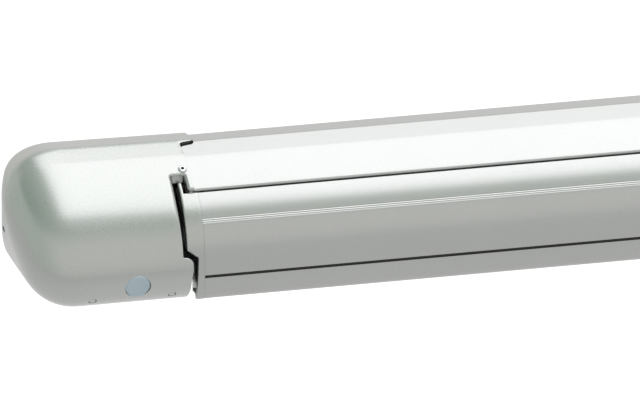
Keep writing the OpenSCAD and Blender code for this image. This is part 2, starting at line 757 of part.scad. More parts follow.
module lead_bar_right_end() color(silver) mirror([1, 0, 0]) lead_end();

// Legs: hinge cheeks in the channel, then the outer tube, the sliding inner tube and its foot
module at_hinge() translate([-hinge_x, leg_y, leg_z]) children();
module across(r, w) rotate([90, 0, 0]) cylinder(r = r, h = w, center = true);
module leg_axis() at_hinge() rotate([0, 90, 0]) children();
module leg_bracket() at_hinge() difference() {
  union() {
    for (y = [-bracket_d / 2, bracket_d / 2 - cheek])
      translate([-hinge_w / 2, y, -11]) cube([hinge_w, cheek, roof_z - leg_z + 11]);
    translate([-hinge_w / 2, -bracket_d / 2, roof_z - leg_z - 2]) cube([hinge_w, bracket_d, 2]);
  }
  across(leg_pin_r + fit, far);
}
module leg_brackets() color(steel) both_sides() leg_bracket();
module leg_pins() color(steel) both_sides() at_hinge() across(leg_pin_r, bracket_d);
module left_leg_knuckle() color(cast_grey) difference() {
  union() {
    at_hinge() across(hinge_r, leg_d + 2);
    leg_axis() bore(hinge_r, 0, collar_z);
    leg_axis() bore(leg_d / 2, collar_z - 6, collar_z);
    leg_axis() bore(leg_d / 2 - leg_wall - fit, collar_z - 1, collar_z + 29);
  }
  at_hinge() across(leg_pin_r + run_gap, far);
}
module left_leg_tube() color(silver) leg_axis() difference() {
  bore(leg_d / 2, collar_z, leg_len - foot_len - 1);
  bore(leg_d / 2 - leg_wall, collar_z - 1, leg_len);
}
module left_leg_inner() color(steel) leg_axis() difference() {
  bore(inner_r, inner_from, leg_len - foot_len);
  bore(inner_r - leg_wall, inner_from - 1, leg_len);
}
module left_foot() color(black) leg_axis() translate([0, 0, leg_len - foot_len]) {
  cylinder(r = leg_d / 2, h = foot_len - 8);
  translate([0, 0, foot_len - 8]) cylinder(r1 = leg_d / 2, r2 = leg_d / 2 - 4, h = 8);
  bore(inner_r - leg_wall - fit, -30, 1);
}
module right_leg_knuckle() mirror([1, 0, 0]) left_leg_knuckle();
module right_leg_tube() mirror([1, 0, 0]) left_leg_tube();
module right_leg_inner() mirror([1, 0, 0]) left_leg_inner();
module right_foot() mirror([1, 0, 0]) left_foot();

// Wall brackets: a plate on the wall, a tongue under the case hook and a pad at the foot
module wall_bracket() difference() {
  translate([-bracket_w / 2, 0, 0]) union() {
    translate([0, -bracket_t, pad_lo]) cube([bracket_w, bracket_t, hook_z - pad_lo + 4]);
    translate([0, back_y + 1, tongue_z]) cube([bracket_w, 3, hook_z - tongue_z - tiny]);
    translate([0, back_y + 1, tongue_z]) cube([bracket_w, wall_gap - bracket_t, 4]);
    translate([0, back_y + tiny, pad_lo]) cube([bracket_w, wall_gap - bracket_t, pad_hi - pad_lo]);
  }
  for (s = [-1, 1]) translate([s * bolt_pitch / 2, 0, 0]) across(bolt_r, far);
  translate([0, 0, pad_z]) across(screw_r + fit, far);
}
module each_bracket() for (x = [-1, 0, 1]) translate([x * bracket_pitch, 0, 0]) children();
module wall_brackets() color(steel) each_bracket() wall_bracket();
module bracket_screw() translate([0, back_y, pad_z]) rotate([90, 0, 0]) {
  bore(screw_r, -8, case_wall + seat);
  bore(screw_head, case_wall, case_wall + 3.2);
}
module bracket_screws() color(steel) each_bracket() bracket_screw();

case_profile();
left_end_cap();
right_end_cap();
left_end_plate();
right_end_plate();
motor_head();
motor_tube();
override_gearbox();
idler_pin();
shoulder_brackets();
shoulder_pins();
wall_brackets();
bracket_screws();
cap_screws();
plate_screws();
lip_seal();
cable_gland();
cover_plugs();
roller_tube();
crown_adapter();
drive_wheel();
idler_plug();
idler_bush();
fabric_roll();
canopy_fabric();
left_upper_arm_tube();
left_shoulder_knuckle();
left_elbow_fork();
left_elbow_pin();
left_arm_spring();
left_forearm_tube();
left_elbow_tongue();
left_wrist_knuckle();
right_upper_arm_tube();
right_shoulder_knuckle();
right_elbow_fork();
right_elbow_pin();
right_arm_spring();
right_forearm_tube();
right_elbow_tongue();
right_wrist_knuckle();
lead_bar_profile();
lead_bar_left_end();
lead_bar_right_end();
front_strip();
front_bead();
wrist_brackets();
wrist_pins();
leg_brackets();
leg_pins();
left_leg_tube();
left_leg_knuckle();
left_leg_inner();
left_foot();
right_leg_tube();
right_leg_knuckle();
right_leg_inner();
right_foot();
override_plug();
override_shaft();
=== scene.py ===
# %% [markdown]
# # Dressing a roll out awning
# The object is a closed awning case for the side of a camper. The CAD frame already holds every solid and joint.
# This lesson gives the frame its looks: smooth extrusions, moulded end caps, cloth, finishes, light and a camera.
# Every piece is in metres, in the CAD's own frame: +X along the case, +Y into the wall, +Z up.

# %% Load the frame
import bisect
import json
import math

import bmesh
import bpy
import numpy as np
from mathutils import Matrix, Vector, geometry


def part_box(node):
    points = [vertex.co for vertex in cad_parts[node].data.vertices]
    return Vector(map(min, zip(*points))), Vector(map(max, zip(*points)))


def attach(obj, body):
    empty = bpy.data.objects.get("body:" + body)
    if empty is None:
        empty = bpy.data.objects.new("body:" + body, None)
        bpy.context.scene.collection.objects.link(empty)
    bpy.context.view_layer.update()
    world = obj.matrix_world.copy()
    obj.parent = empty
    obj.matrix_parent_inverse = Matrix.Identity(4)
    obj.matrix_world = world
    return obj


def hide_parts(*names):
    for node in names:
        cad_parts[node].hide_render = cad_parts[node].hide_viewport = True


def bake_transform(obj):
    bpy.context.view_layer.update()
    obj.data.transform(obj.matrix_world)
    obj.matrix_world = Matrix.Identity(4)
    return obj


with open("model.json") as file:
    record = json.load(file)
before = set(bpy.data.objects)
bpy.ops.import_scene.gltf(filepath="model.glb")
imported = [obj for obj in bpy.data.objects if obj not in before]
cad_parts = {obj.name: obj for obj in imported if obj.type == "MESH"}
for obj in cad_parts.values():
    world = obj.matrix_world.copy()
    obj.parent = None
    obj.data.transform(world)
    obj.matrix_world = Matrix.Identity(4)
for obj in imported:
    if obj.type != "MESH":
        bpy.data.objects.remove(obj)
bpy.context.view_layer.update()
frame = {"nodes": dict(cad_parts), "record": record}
body_of_node = {n: b for b, names in frame["record"]["behaviour"]["bodies"].items() for n in names}
slot_of_node = {s["node"]: s["material_slot"] for s in frame["record"]["subparts"]}
MM = 0.001

# %% [markdown]
# ## Colours and nodes
# Colours are written as sRGB hex, the way a paint chart gives them. Shaders work in linear light, so one function
# converts them. A second small function adds a shader node, sets its values and links its inputs, so that each
# material below reads as a list of nodes.

# %% Colour and node helpers
def linear(hex_code):
    parts = [int(hex_code[i:i + 2], 16) / 255 for i in (1, 3, 5)]
    return [c / 12.92 if c <= 0.04045 else ((c + 0.055) / 1.055) ** 2.4 for c in parts] + [1.0]


def add(tree, kind, links=None, **settings):
    """Adds a node. A node or a socket among its values is linked; a node stands for its first output."""
    made = tree.nodes.new(kind)
    for key, value in settings.items():
        setattr(made, key, value)
    for key, value in (links or {}).items():
        value = value.outputs[0] if isinstance(value, bpy.types.Node) else value
        if isinstance(value, bpy.types.NodeSocket):
            tree.links.new(value, made.inputs[key])
        else:
            made.inputs[key].default_value = value
    return made


def calc(tree, operation, *values):
    return add(tree, "ShaderNodeMath", dict(enumerate(values)), operation=operation)


def ranged(tree, value, low, high, start=0.0, end=1.0, **settings):
    """Takes a value that runs from start to end to one that runs from low to high."""
    links = {"Value": value, "From Min": start, "From Max": end, "To Min": low, "To Max": high}
    return add(tree, "ShaderNodeMapRange", links, **settings)


def mixed(tree, factor, a, b, kind="RGBA", **settings):
    made = add(tree, "ShaderNodeMix", {"Factor": factor, "A": a, "B": b}, data_type=kind, **settings)
    return made.outputs["Result"]


def shaded(tree, colour, shade):
    """A colour that a pattern makes darker and lighter."""
    return add(tree, "ShaderNodeVectorMath", {0: colour, "Scale": shade}, operation="SCALE")


def per_metre(size_mm):
    """How many times a pattern of that size fits in a metre."""
    return 1000.0 / size_mm


def noise(tree, place, size_mm, detail, stretch=1.0):
    """Noise of a size, stretched along X."""
    scale = (per_metre(size_mm * stretch), per_metre(size_mm), per_metre(size_mm))
    drawn = add(tree, "ShaderNodeMapping", {"Vector": place, "Scale": scale})
    return add(tree, "ShaderNodeTexNoise", {"Vector": drawn, "Scale": 1.0, "Detail": detail})


def bumped(tree, height, strength, deep_mm):
    return add(tree, "ShaderNodeBump", {"Height": height, "Strength": strength, "Distance": deep_mm * MM})


# %% Material helpers
def new_material(name):
    material = bpy.data.materials.new(name)
    material.use_nodes = True
    tree = material.node_tree
    tree.nodes.clear()
    place = add(tree, "ShaderNodeTexCoord").outputs["Object"]
    return material, tree, place


def close_material(tree, values):
    shader = add(tree, "ShaderNodeBsdfPrincipled", values)
    add(tree, "ShaderNodeOutputMaterial", {"Surface": shader})


# %% [markdown]
# ## Silver lacquer
# The extrusions are aluminium with a silver metallic lacquer, and the caps are moulded ABS in the same colour.
# Metal flakes in such a paint glint one by one. A cell texture gives each flake its own brightness and gloss. Real
# flakes are about 0.1 mm, too fine to show here, so they are drawn about 1.2 mm wide. Extrusions also keep faint
# lines from the die, so their noise is stretched along X.

# %% Silver lacquer
FLAKE_MM, FLAKE_BUMP = 1.2, 0.012
CLOUD_MM, CLOUD_SHADE = 140.0, 0.03
DIE_LINE_MM, DIE_LINE_STRETCH = 3.0, 300.0


def silver_lacquer(name, colour, roughness, coat, die_lines, flakes):
    material, tree, place = new_material(name)
    flake = add(tree, "ShaderNodeTexVoronoi", {"Vector": place, "Scale": per_metre(FLAKE_MM)}, feature="F1")
    glint = add(tree, "ShaderNodeSeparateColor", {"Color": flake.outputs["Color"]}).outputs
    bright = ranged(tree, glint[0], 1 - flakes, 1 + flakes)
    cloud = ranged(tree, noise(tree, place, CLOUD_MM, 3.0), 1 - CLOUD_SHADE, 1 + CLOUD_SHADE)
    lines = calc(tree, "MULTIPLY", noise(tree, place, DIE_LINE_MM, 2.0, DIE_LINE_STRETCH), die_lines)
    level = calc(tree, "MULTIPLY_ADD", glint[2], FLAKE_BUMP, lines)
    close_material(tree, {
        "Base Color": shaded(tree, linear(colour)[:3], calc(tree, "MULTIPLY", bright, cloud)),
        "Roughness": ranged(tree, glint[1], roughness - flakes, roughness + flakes),
        "Normal": bumped(tree, level, 0.10, 0.2),
        "Metallic": 0.9, "Coat Weight": coat, "Coat Roughness": 0.18})
    return material


extrusion_silver = silver_lacquer("silver_lacquered_aluminium", "#B1B3B0", 0.30, 0.15, 0.5, 0.02)
cap_silver = silver_lacquer("silver_lacquered_abs", "#AEB1AD", 0.28, 0.2, 0.0, 0.008)
print("silver finishes:", extrusion_silver.name, cap_silver.name)

# %% [markdown]
# ## Bare metals
# Castings are shot-blasted, so they are matt and grainy. Sheet and tube keep the fine lines of the rolling mill.
# Zinc-plated steel has a soft mottle. Each is one function, with its grain scale in millimetres.

# %% Bare metals
METAL_PATCH_MM, METAL_SHADE, METAL_ROUGH = 40.0, (0.88, 1.1), 0.1


def grained_metal(name, colour, roughness, grain_mm, stretch, depth):
    material, tree, place = new_material(name)
    grain = noise(tree, place, grain_mm, 4.0, stretch)
    patch = ranged(tree, noise(tree, place, METAL_PATCH_MM, 2.0), *METAL_SHADE)
    close_material(tree, {
        "Base Color": shaded(tree, linear(colour)[:3], patch),
        "Roughness": ranged(tree, grain, roughness - METAL_ROUGH, roughness + METAL_ROUGH),
        "Normal": bumped(tree, grain, depth, 0.3), "Metallic": 1.0})
    return material


cast_aluminium = grained_metal("blasted_cast_aluminium", "#8E9092", 0.55, 1.0, 1, 0.5)
mill_aluminium = grained_metal("mill_finish_aluminium", "#B9BBBC", 0.38, 1.2, 60, 0.15)
zinc_steel = grained_metal("zinc_plated_steel", "#A9ACB0", 0.33, 3.0, 1, 0.12)
bright_steel = grained_metal("polished_stainless_steel", "#C4C6C7", 0.16, 1.5, 1, 0.03)
# A black steel for the walls of the screw sockets: painted shade
socket_shade_steel = grained_metal("socket_shade_black_steel", "#1B1C1D", 0.5, 0.8, 1, 0.2)
bearing_bronze = grained_metal("sintered_bronze", "#A8834A", 0.5, 0.8, 1, 0.3)
print("bare metals:", cast_aluminium.name, mill_aluminium.name, zinc_steel.name, bearing_bronze.name)

# %% [markdown]
# ## Rubber, nylon, black for painted shade and the crank plug
# These are moulded in one colour; one black on the end plates is painted shade. What tells them apart is gloss
# and a fine grain, so one function takes the colour, the gloss and the size of the grain.

# %% Polymers
PLASTIC_PATCH_MM, PLASTIC_SHADE, PLASTIC_ROUGH = 25.0, (0.92, 1.06), 0.08


def moulded(name, colour, roughness, grain_mm, depth):
    material, tree, place = new_material(name)
    grain = noise(tree, place, grain_mm, 5.0)
    patch = ranged(tree, noise(tree, place, PLASTIC_PATCH_MM, 2.0), *PLASTIC_SHADE)
    close_material(tree, {
        "Base Color": shaded(tree, linear(colour)[:3], patch),
        "Roughness": ranged(tree, grain, roughness - PLASTIC_ROUGH, roughness + PLASTIC_ROUGH),
        "Normal": bumped(tree, grain, depth, 0.2), "IOR": 1.5})
    return material


black_rubber = moulded("black_epdm_rubber", "#222324", 0.7, 1.5, 0.3)
# Black for the end plates: painted shade, so that the joint behind the caps looks dark
shade_black = moulded("black_powder_coat", "#1E1F20", 0.6, 0.6, 0.3)
black_nylon = moulded("black_moulded_nylon", "#2A2B2D", 0.5, 1.0, 0.25)
plug_blue = moulded("pale_blue_polyethylene", "#BDD0D7", 0.45, 1.2, 0.15)
print("polymers:", black_rubber.name, black_nylon.name, plug_blue.name)

# %% [markdown]
# ## Awning cloth
# Awning cloth is a plain weave of acrylic yarn with broad stripes along its run. The stripes depend on X alone, so
# they stay straight however far the cloth is drawn out. Yarns are about 0.5 mm apart; they are drawn 2 mm apart so
# that they show.

# %% Awning cloth
YARN_MM, STRIPE_MM, STRIPE_EDGE = 2.0, 110.0, 1.25
PALE_GREY, DARK_GREY = "#8F9396", "#6C7176"


def awning_cloth():
    material, tree, place = new_material("woven_acrylic_canvas")
    axes = add(tree, "ShaderNodeSeparateXYZ", {"Vector": place}).outputs
    turns = 2 * math.pi * per_metre(YARN_MM)
    yarns = [calc(tree, "SINE", calc(tree, "MULTIPLY", axes[k], turns)) for k in ("X", "Y")]
    weave = calc(tree, "MULTIPLY", *yarns)
    band = calc(tree, "PINGPONG", calc(tree, "MULTIPLY", axes["X"], per_metre(STRIPE_MM)), 2.0)
    dark = calc(tree, "GREATER_THAN", band, STRIPE_EDGE)
    stripes = mixed(tree, dark, linear(PALE_GREY), linear(DARK_GREY))
    close_material(tree, {
        "Base Color": shaded(tree, stripes, ranged(tree, weave, 0.86, 1.08, -1.0)),
        "Roughness": 0.85, "Normal": bumped(tree, weave, 0.3, 0.3), "Sheen Weight": 0.2})
    return material


canvas = awning_cloth()
print("cloth:", canvas.name)

# %% [markdown]
# ## The section
# Case, caps and lead bar share one section in Y and Z. The case top is a strip, a crease, a flat facet and a hood
# that runs down to the lip. The lead bar is a brow, a belly and a toe. All of it is arcs, so a helper draws an arc
# as points, close enough together to look round.

# %% Arcs and the case section
def on_arc(centre, radius, angle):
    a = math.radians(angle)
    return (centre[0] + radius * math.cos(a), centre[1] + radius * math.sin(a))


def arc(centre, radius, start, end, step=1.5):
    count = max(1, math.ceil(abs(end - start) / step))
    return [on_arc(centre, radius, start + (end - start) * i / count) for i in range(count + 1)]


BACK_Y, FRONT_Y = -14.0, -164.0
CASE_WALL, CAP_WALL, SEAT = 3.0, 2.5, 0.1
CREASE, STRIP_W, STRIP_FALL = (FRONT_Y + 96.3, 70.9), 29.8, 6.0
FACET_W, FACET_FALL = 28.1, 14.6
HOOD_R, HOOD_FROM, HOOD_TO = 126.0, 110.3, 130.6
FLOOR_Z, FLOOR_R, FLOOR_W, FLOOR_FALL = -67.0, 10.0, 34.0, 3.4
FLOOR_A = 270 + FLOOR_FALL
strip_end = on_arc(CREASE, STRIP_W, -STRIP_FALL)
corner_r = (BACK_Y - strip_end[0]) / (1 - math.sin(math.radians(STRIP_FALL)))
corner_c = on_arc(strip_end, -corner_r, 90 - STRIP_FALL)
facet_end = on_arc(CREASE, FACET_W, 180 + FACET_FALL)
hood_c = on_arc(facet_end, -HOOD_R, HOOD_FROM)
floor_c = (BACK_Y - FLOOR_R, FLOOR_Z + FLOOR_R)
crease_n = 90 + (FACET_FALL - STRIP_FALL) / 2
EDGE_MM = 0.7


def crease_points(t):
    """The crease as a small round: two points close to each other, so that light breaks there."""
    at = on_arc(CREASE, -t, crease_n)
    return [on_arc(at, EDGE_MM, -STRIP_FALL), on_arc(at, EDGE_MM, 180 + FACET_FALL)]


def top_path(t, hood_end=HOOD_TO):
    hood = arc(hood_c, HOOD_R - t, HOOD_FROM, hood_end)
    before = on_arc(hood[0], EDGE_MM, FACET_FALL)
    return arc(corner_c, corner_r - t, 0, 90 - STRIP_FALL) + crease_points(t) + [before] + hood


def floor_edge(t):
    return on_arc(on_arc(floor_c, FLOOR_R - t, FLOOR_A), -FLOOR_W, FLOOR_FALL)


def case_path(t, hood_end=HOOD_TO):
    return [floor_edge(t)] + arc(floor_c, FLOOR_R - t, FLOOR_A, 360, 6) + top_path(t, hood_end)


print("hood centre %.1f, %.1f mm; corner radius %.1f mm" % (*hood_c, corner_r))

# %% [markdown]
# ## Turning outlines into pieces
# A closed outline with holes is filled with triangles, and two copies are joined by walls: that is an extrusion.
# The same fill is used later for the moulded skins. A piece then gets its material, its smooth shading, the body
# that it rides on and the CAD node that it stands for.

# %% Outline helpers
def inside(points, loops):
    """Even-odd rule: true where a point is in the outline and in none of its holes."""
    points = np.asarray(points)
    hit = np.zeros(len(points), bool)
    for loop in loops:
        for a, b in zip(loop, loop[1:] + loop[:1]):
            if a[1] != b[1]:
                crosses = (a[1] > points[:, 1]) != (b[1] > points[:, 1])
                hit ^= crosses & (points[:, 0] < a[0] + (points[:, 1] - a[1]) * (b[0] - a[0]) / (b[1] - a[1]))
    return hit


def fill(loops, extra=()):
    """Triangles over an outline and its holes; extra points make the mesh finer."""
    points, edges = [], []
    for loop in loops:
        first = len(points)
        points += loop
        edges += [(first + i, first + (i + 1) % len(loop)) for i in range(len(loop))]
    points += list(extra)
    made = geometry.delaunay_2d_cdt([Vector(p) for p in points], edges, [], 0, 1e-5)
    verts = [tuple(v) for v in made[0]]
    where = {source: i for i, sources in enumerate(made[3]) for source in sources}
    middles = [[sum(verts[i][k] for i in face) / len(face) for k in (0, 1)] for face in made[2]]
    faces = [tuple(face) for face, kept in zip(made[2], inside(middles, loops)) if kept]
    return verts, faces, where


# %% Mesh helpers
def mesh_of(name, verts, faces):
    mesh = bpy.data.meshes.new(name)
    mesh.from_pydata([Vector(v) * MM for v in verts], [], faces)
    return mesh


def tidy_mesh(mesh, weld_mm=0.002):
    """Welds points that coincide and turns the faces outward."""
    work = bmesh.new()
    work.from_mesh(mesh)
    bmesh.ops.remove_doubles(work, verts=work.verts, dist=weld_mm * MM)
    bmesh.ops.recalc_face_normals(work, faces=work.faces)
    work.to_mesh(mesh)
    work.free()
    mesh.update()


def smooth(mesh, angle=30.0):
    mesh.shade_smooth()
    mesh.set_sharp_from_angle(angle=math.radians(angle))


def new_object(name, mesh):
    made = bpy.data.objects.new(name, mesh)
    bpy.context.scene.collection.objects.link(made)
    return made


def baked(holder):
    """The object with its modifiers worked in, as a plain mesh."""
    bpy.context.view_layer.update()
    graph = bpy.context.evaluated_depsgraph_get()
    mesh = bpy.data.meshes.new_from_object(holder.evaluated_get(graph))
    holder.modifiers.clear()
    holder.data = mesh
    return holder


def bevelled(holder, width_mm, angle):
    """Rounds the edges that are sharper than an angle."""
    rounding = holder.modifiers.new("round", "BEVEL")
    rounding.width, rounding.segments = width_mm * MM, 2
    rounding.limit_method, rounding.angle_limit = "ANGLE", math.radians(angle)
    return baked(holder)


# %% Piece helpers
modelled = set()


def finished(holder, material, nodes):
    """Gives a piece its finish and puts it in the place of its CAD nodes."""
    holder.data.materials.clear()
    holder.data.materials.append(material)
    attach(holder, body_of_node[nodes[0]])
    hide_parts(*nodes)
    modelled.update(nodes)
    return holder


# %% Path helpers
CORNER_STEPS = 8


def spaced(points, longest):
    """The same path with no step longer than asked."""
    path = [points[0]]
    for a, b in zip(points, points[1:]):
        count = max(1, math.ceil(math.dist(a, b) / longest))
        path += [tuple(a[k] + (b[k] - a[k]) * i / count for k in (0, 1)) for i in range(1, count + 1)]
    return path


def rounded(corners):
    """An open path whose corners (x, y, radius) become arcs; a radius of 0 keeps the corner."""
    path = []
    for i, (x, y, radius) in enumerate(corners):
        if radius == 0 or i in (0, len(corners) - 1):
            path.append((x, y))
            continue
        at = Vector((x, y))
        u = (Vector(corners[i - 1][:2]) - at).normalized()
        v = (Vector(corners[i + 1][:2]) - at).normalized()
        half = u.angle(v) / 2
        reach = radius / math.tan(half)
        centre = at + (u + v).normalized() * radius / math.sin(half)
        first, last = at + u * reach - centre, at + v * reach - centre
        turn = first.angle_signed(last)
        for k in range(CORNER_STEPS + 1):
            path.append(tuple(centre + Matrix.Rotation(-turn * k / CORNER_STEPS, 2) @ first))
    return path


# %% Solid helpers
def boolean(base, part, operation):
    work = base.modifiers.new(operation, "BOOLEAN")
    work.operation, work.object, work.solver = operation, part, "EXACT"
    baked(base)
    bpy.data.objects.remove(part)
    return base


def mirrored(mesh):
    """The same mesh at the other end of the awning."""
    mesh.transform(Matrix.Scale(-1, 4, (1, 0, 0)))
    mesh.flip_normals()


def extruded(name, loops, x0, x1):
    flat, faces, where = fill(loops)
    count = len(flat)
    verts = [(x0, *p) for p in flat] + [(x1, *p) for p in flat]
    made = list(faces) + [tuple(i + count for i in reversed(f)) for f in faces]
    first = 0
    for loop in loops:
        ring = [where[first + i] for i in range(len(loop))]
        first += len(loop)
        made += [(a, b, b + count, a + count) for a, b in zip(ring, ring[1:] + ring[:1]) if a != b]
    mesh = mesh_of(name, verts, made)
    tidy_mesh(mesh)
    return new_object(name, mesh)


# %% [markdown]
# ## The case
# The case is one aluminium extrusion: the wall that goes round the roller from floor to lip, three screw ports for
# the end plates and the hook that hangs on the wall brackets. The lip ends in a round bead. Ports and hook are added
# by Boolean unions. Near each end a short S-shaped slot is cut, under the edge of the end cap's tongue.

# %% Case extrusion
CASE_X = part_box("case_profile")[1].x / MM
HOOK_X = CASE_X - 6.0
PORT_R, PORT_BORE, LIP_R = 4.6, 2.1, 2.7
ports = [on_arc(corner_c, corner_r - 7, 45), on_arc(hood_c, HOOD_R - 7, 114), (BACK_Y - 6.6, FLOOR_Z + 57)]
hook = [(BACK_Y - 1, 34), (BACK_Y + 5, 34), (BACK_Y + 5, 24), (BACK_Y + 8, 24), (BACK_Y + 8, 37), (BACK_Y - 1, 37)]


def circle(centre, radius, step=10.0):
    return arc(centre, radius, 0, 360 - step, step)


lip = arc(on_arc(hood_c, HOOD_R - LIP_R, HOOD_TO), LIP_R, HOOD_TO, HOOD_TO + 180, 12)[1:]
case = extruded("case", [case_path(0) + lip + case_path(CASE_WALL, HOOD_TO - 2)[::-1]], -CASE_X, CASE_X)
for centre in ports:
    boolean(case, extruded("port", [circle(centre, PORT_R), circle(centre, PORT_BORE)], -CASE_X, CASE_X), "UNION")
boolean(case, extruded("hook", [hook], -HOOK_X, HOOK_X), "UNION")
print("case:", len(case.data.polygons), "faces")

# %% [markdown]
# ## Slots under the cap tongues
# A tongue of each cap lies over the case, and a dark slot shows along its edge. The cutter follows the bend of that
# edge and the slope of the skin, so the slot has the same depth all the way. The same cutter serves the caps.

# %% Slots under the cap tongues
JOINT_X = 1105.0
TONGUE_X, TIP_Y, ROOT_Y, TONGUE_R = JOINT_X - 17, FRONT_Y + 94.8, FRONT_Y + 91.6, 5.5
GAP_FRONT, GAP_BACK, GAP_UP, GAP_DOWN = 3.0, 2.6, 1.9, 8.0
bend = rounded([(-TONGUE_X, TIP_Y + 9, 0), (-TONGUE_X, TIP_Y, TONGUE_R),
                (-JOINT_X, ROOT_Y, TONGUE_R), (-JOINT_X, ROOT_Y - 8, 0)])[1:-1]


def skin_level(y):
    """Height of the case's skin over its strip and its facet."""
    fall = STRIP_FALL if y > CREASE[0] else FACET_FALL
    return CREASE[1] + (y - CREASE[0]) * math.tan(math.radians(fall))


def tongue_gap(side):
    """A cutter along the tongue's edge that runs up to just under the tongue's skin."""
    verts, faces = [], [(0, 1, 2, 3)]
    for x, y in bend:
        front, back = y - GAP_FRONT, y + GAP_BACK
        verts += [(x * side, front, skin_level(front) - GAP_DOWN), (x * side, front, skin_level(front) + GAP_UP),
                  (x * side, back, skin_level(back) + GAP_UP), (x * side, back, skin_level(back) - GAP_DOWN)]
    for i in range(0, len(verts) - 4, 4):
        faces += [(i + k, i + (k + 1) % 4, i + (k + 1) % 4 + 4, i + k + 4) for k in range(4)]
    faces.append(tuple(range(len(verts) - 4, len(verts))))
    mesh = mesh_of("gap", verts, faces)
    tidy_mesh(mesh)
    return new_object("gap", mesh)


for side in (1, -1):
    boolean(case, tongue_gap(side), "DIFFERENCE")
smooth(case.data)
finished(case, extrusion_silver, ["case_profile"])
print("case with slots:", len(case.data.polygons), "faces")

# %% [markdown]
# ## The lead bar
# The lead bar is a second extrusion. Its skin carries three fine grooves near the top and a slot with a black strip
# near the foot. Behind the skin are a box, the channel that the legs fold into and the round groove that holds the
# cloth's bead. The outline is walked once round, from the top of the skin to the toe and back up the inside.

# %% Sizes of the lead bar
FRONT_Z, BASE_Z, BELLY_R, BROW_R, SKIN, TOE_R = -43.0, -73.0, 260.0, 85.0, 2.5, 5.0
BROW_TOP, FIN_TOP, END_PROUD, BELLY_TO = 47.8, 58.0, 0.4, 25.0
belly_c = (FRONT_Y + BELLY_R, FRONT_Z)
belly_a = math.degrees(math.asin(BELLY_TO / BELLY_R))
brow_c = on_arc(belly_c, BELLY_R - BROW_R, 180 - belly_a)
toe_a = math.degrees(math.asin((FRONT_Z - BASE_Z - TOE_R) / (BELLY_R - TOE_R)))
toe_c = on_arc(belly_c, BELLY_R - TOE_R, 180 + toe_a)
REAR_Y, ROOF_Z, BOX_Y = -125.1, -42.5, FRONT_Y + 23
BEAD_C, BEAD_HOLE, BEAD_RING = (FRONT_Y + 36, FRONT_Z + 70), 3.3, 5.8
WEB_Z = BEAD_C[1] - BEAD_RING
SLOT_Z, SLOT_H, SLOT_DEEP, SLOT_WALL = FRONT_Z - 4.3, 3.1, 4.0, 2.0
GROOVE_A, GROOVE_PITCH, GROOVE_R, GROOVE_STEP, GROOVE_DEEP = 26.3, 1.35, 0.7, 0.12, 0.45
MOUTH_H = 1.4
print("brow meets belly at %.1f degrees" % belly_a)


# %% Skin of the lead bar
def groove(angle):
    """A fine groove, walked down the brow: a short steep wall, then a slope that catches the light from above."""
    at = on_arc(brow_c, BROW_R, angle)
    bottom = on_arc(on_arc(at, GROOVE_R - GROOVE_STEP, angle - 90), -GROOVE_DEEP, angle)
    return [on_arc(at, GROOVE_R, angle - 90), bottom, on_arc(at, GROOVE_R, angle + 90)]


def belly_angle(z, t):
    return 180 - math.degrees(math.asin((z - FRONT_Z) / (BELLY_R - t)))


def brow_angle(z, t):
    return 180 - math.degrees(math.asin((z - brow_c[1]) / (BROW_R - t)))


def skin_front():
    path, start = [], 180 - BROW_TOP
    half = math.degrees(GROOVE_R / BROW_R)
    for i in (-1, 0, 1):
        mid = 180 - GROOVE_A + i * GROOVE_PITCH
        path += arc(brow_c, BROW_R, start, mid - half)[:-1] + groove(mid)
        start = mid + half
    path += arc(brow_c, BROW_R, start, 180 - belly_a)[1:]
    top, foot = SLOT_Z + SLOT_H / 2, SLOT_Z - SLOT_H / 2
    path += arc(belly_c, BELLY_R, 180 - belly_a, belly_angle(top, 0), 0.7)[1:]
    path += [(FRONT_Y + SLOT_DEEP, top), (FRONT_Y + SLOT_DEEP, foot)]
    path += arc(belly_c, BELLY_R, belly_angle(foot, 0), 180 + toe_a, 0.7)
    return path + arc(toe_c, TOE_R, 180 + toe_a, 270, 8)[1:]


print("skin:", len(skin_front()), "points")

# %% Groove for the bead
ROLL_C, ROLL_R, CORE_R, CLOTH_OFF = (BACK_Y - 46, FLOOR_Z + 82), 35.0, 30.0, 0.3
bead_span = math.dist(BEAD_C, ROLL_C)
bead_dir = math.degrees(math.atan2(BEAD_C[1] - ROLL_C[1], BEAD_C[0] - ROLL_C[0]))
leave_r = ROLL_R + CLOTH_OFF
leave_pt = on_arc(ROLL_C, leave_r, bead_dir - math.degrees(math.acos(leave_r / bead_span)))
cloth_dir = math.degrees(math.atan2(leave_pt[1] - BEAD_C[1], leave_pt[0] - BEAD_C[0]))


def bead_ring():
    """The round groove for the bead, open towards the cloth."""
    outer = math.degrees(math.asin(MOUTH_H / BEAD_RING))
    inner = math.degrees(math.asin(MOUTH_H / BEAD_HOLE))
    first = arc(BEAD_C, BEAD_RING, -90, cloth_dir - outer, 8)
    hole = arc(BEAD_C, BEAD_HOLE, cloth_dir - inner, cloth_dir + inner - 360, 12)
    web = 180 + math.degrees(math.asin((BEAD_RING - SKIN) / BEAD_RING))
    return first + hole + arc(BEAD_C, BEAD_RING, cloth_dir + outer, web, 8)


print("the cloth leaves the bar at %.0f degrees" % cloth_dir)


# %% Lead bar extrusion
def lead_bar_outline():
    path = skin_front()
    path += arc(toe_c, TOE_R - SKIN, 270, 180 + toe_a, 12)
    back_foot = SLOT_Z - SLOT_H / 2 - SLOT_WALL
    path += arc(belly_c, BELLY_R - SKIN, 180 + toe_a, belly_angle(back_foot, SKIN), 0.7)[1:]
    block = FRONT_Y + SLOT_DEEP + SLOT_WALL
    path += [(block, back_foot), (block, ROOF_Z), (REAR_Y, ROOF_Z), (REAR_Y, BASE_Z), (REAR_Y + SKIN, BASE_Z)]
    path += [(REAR_Y + SKIN, ROOF_Z + SKIN), (BOX_Y + SKIN, ROOF_Z + SKIN), (BOX_Y + SKIN, WEB_Z)]
    path += bead_ring()
    return path + arc(brow_c, BROW_R - SKIN, brow_angle(WEB_Z + SKIN, SKIN), 180 - BROW_TOP)


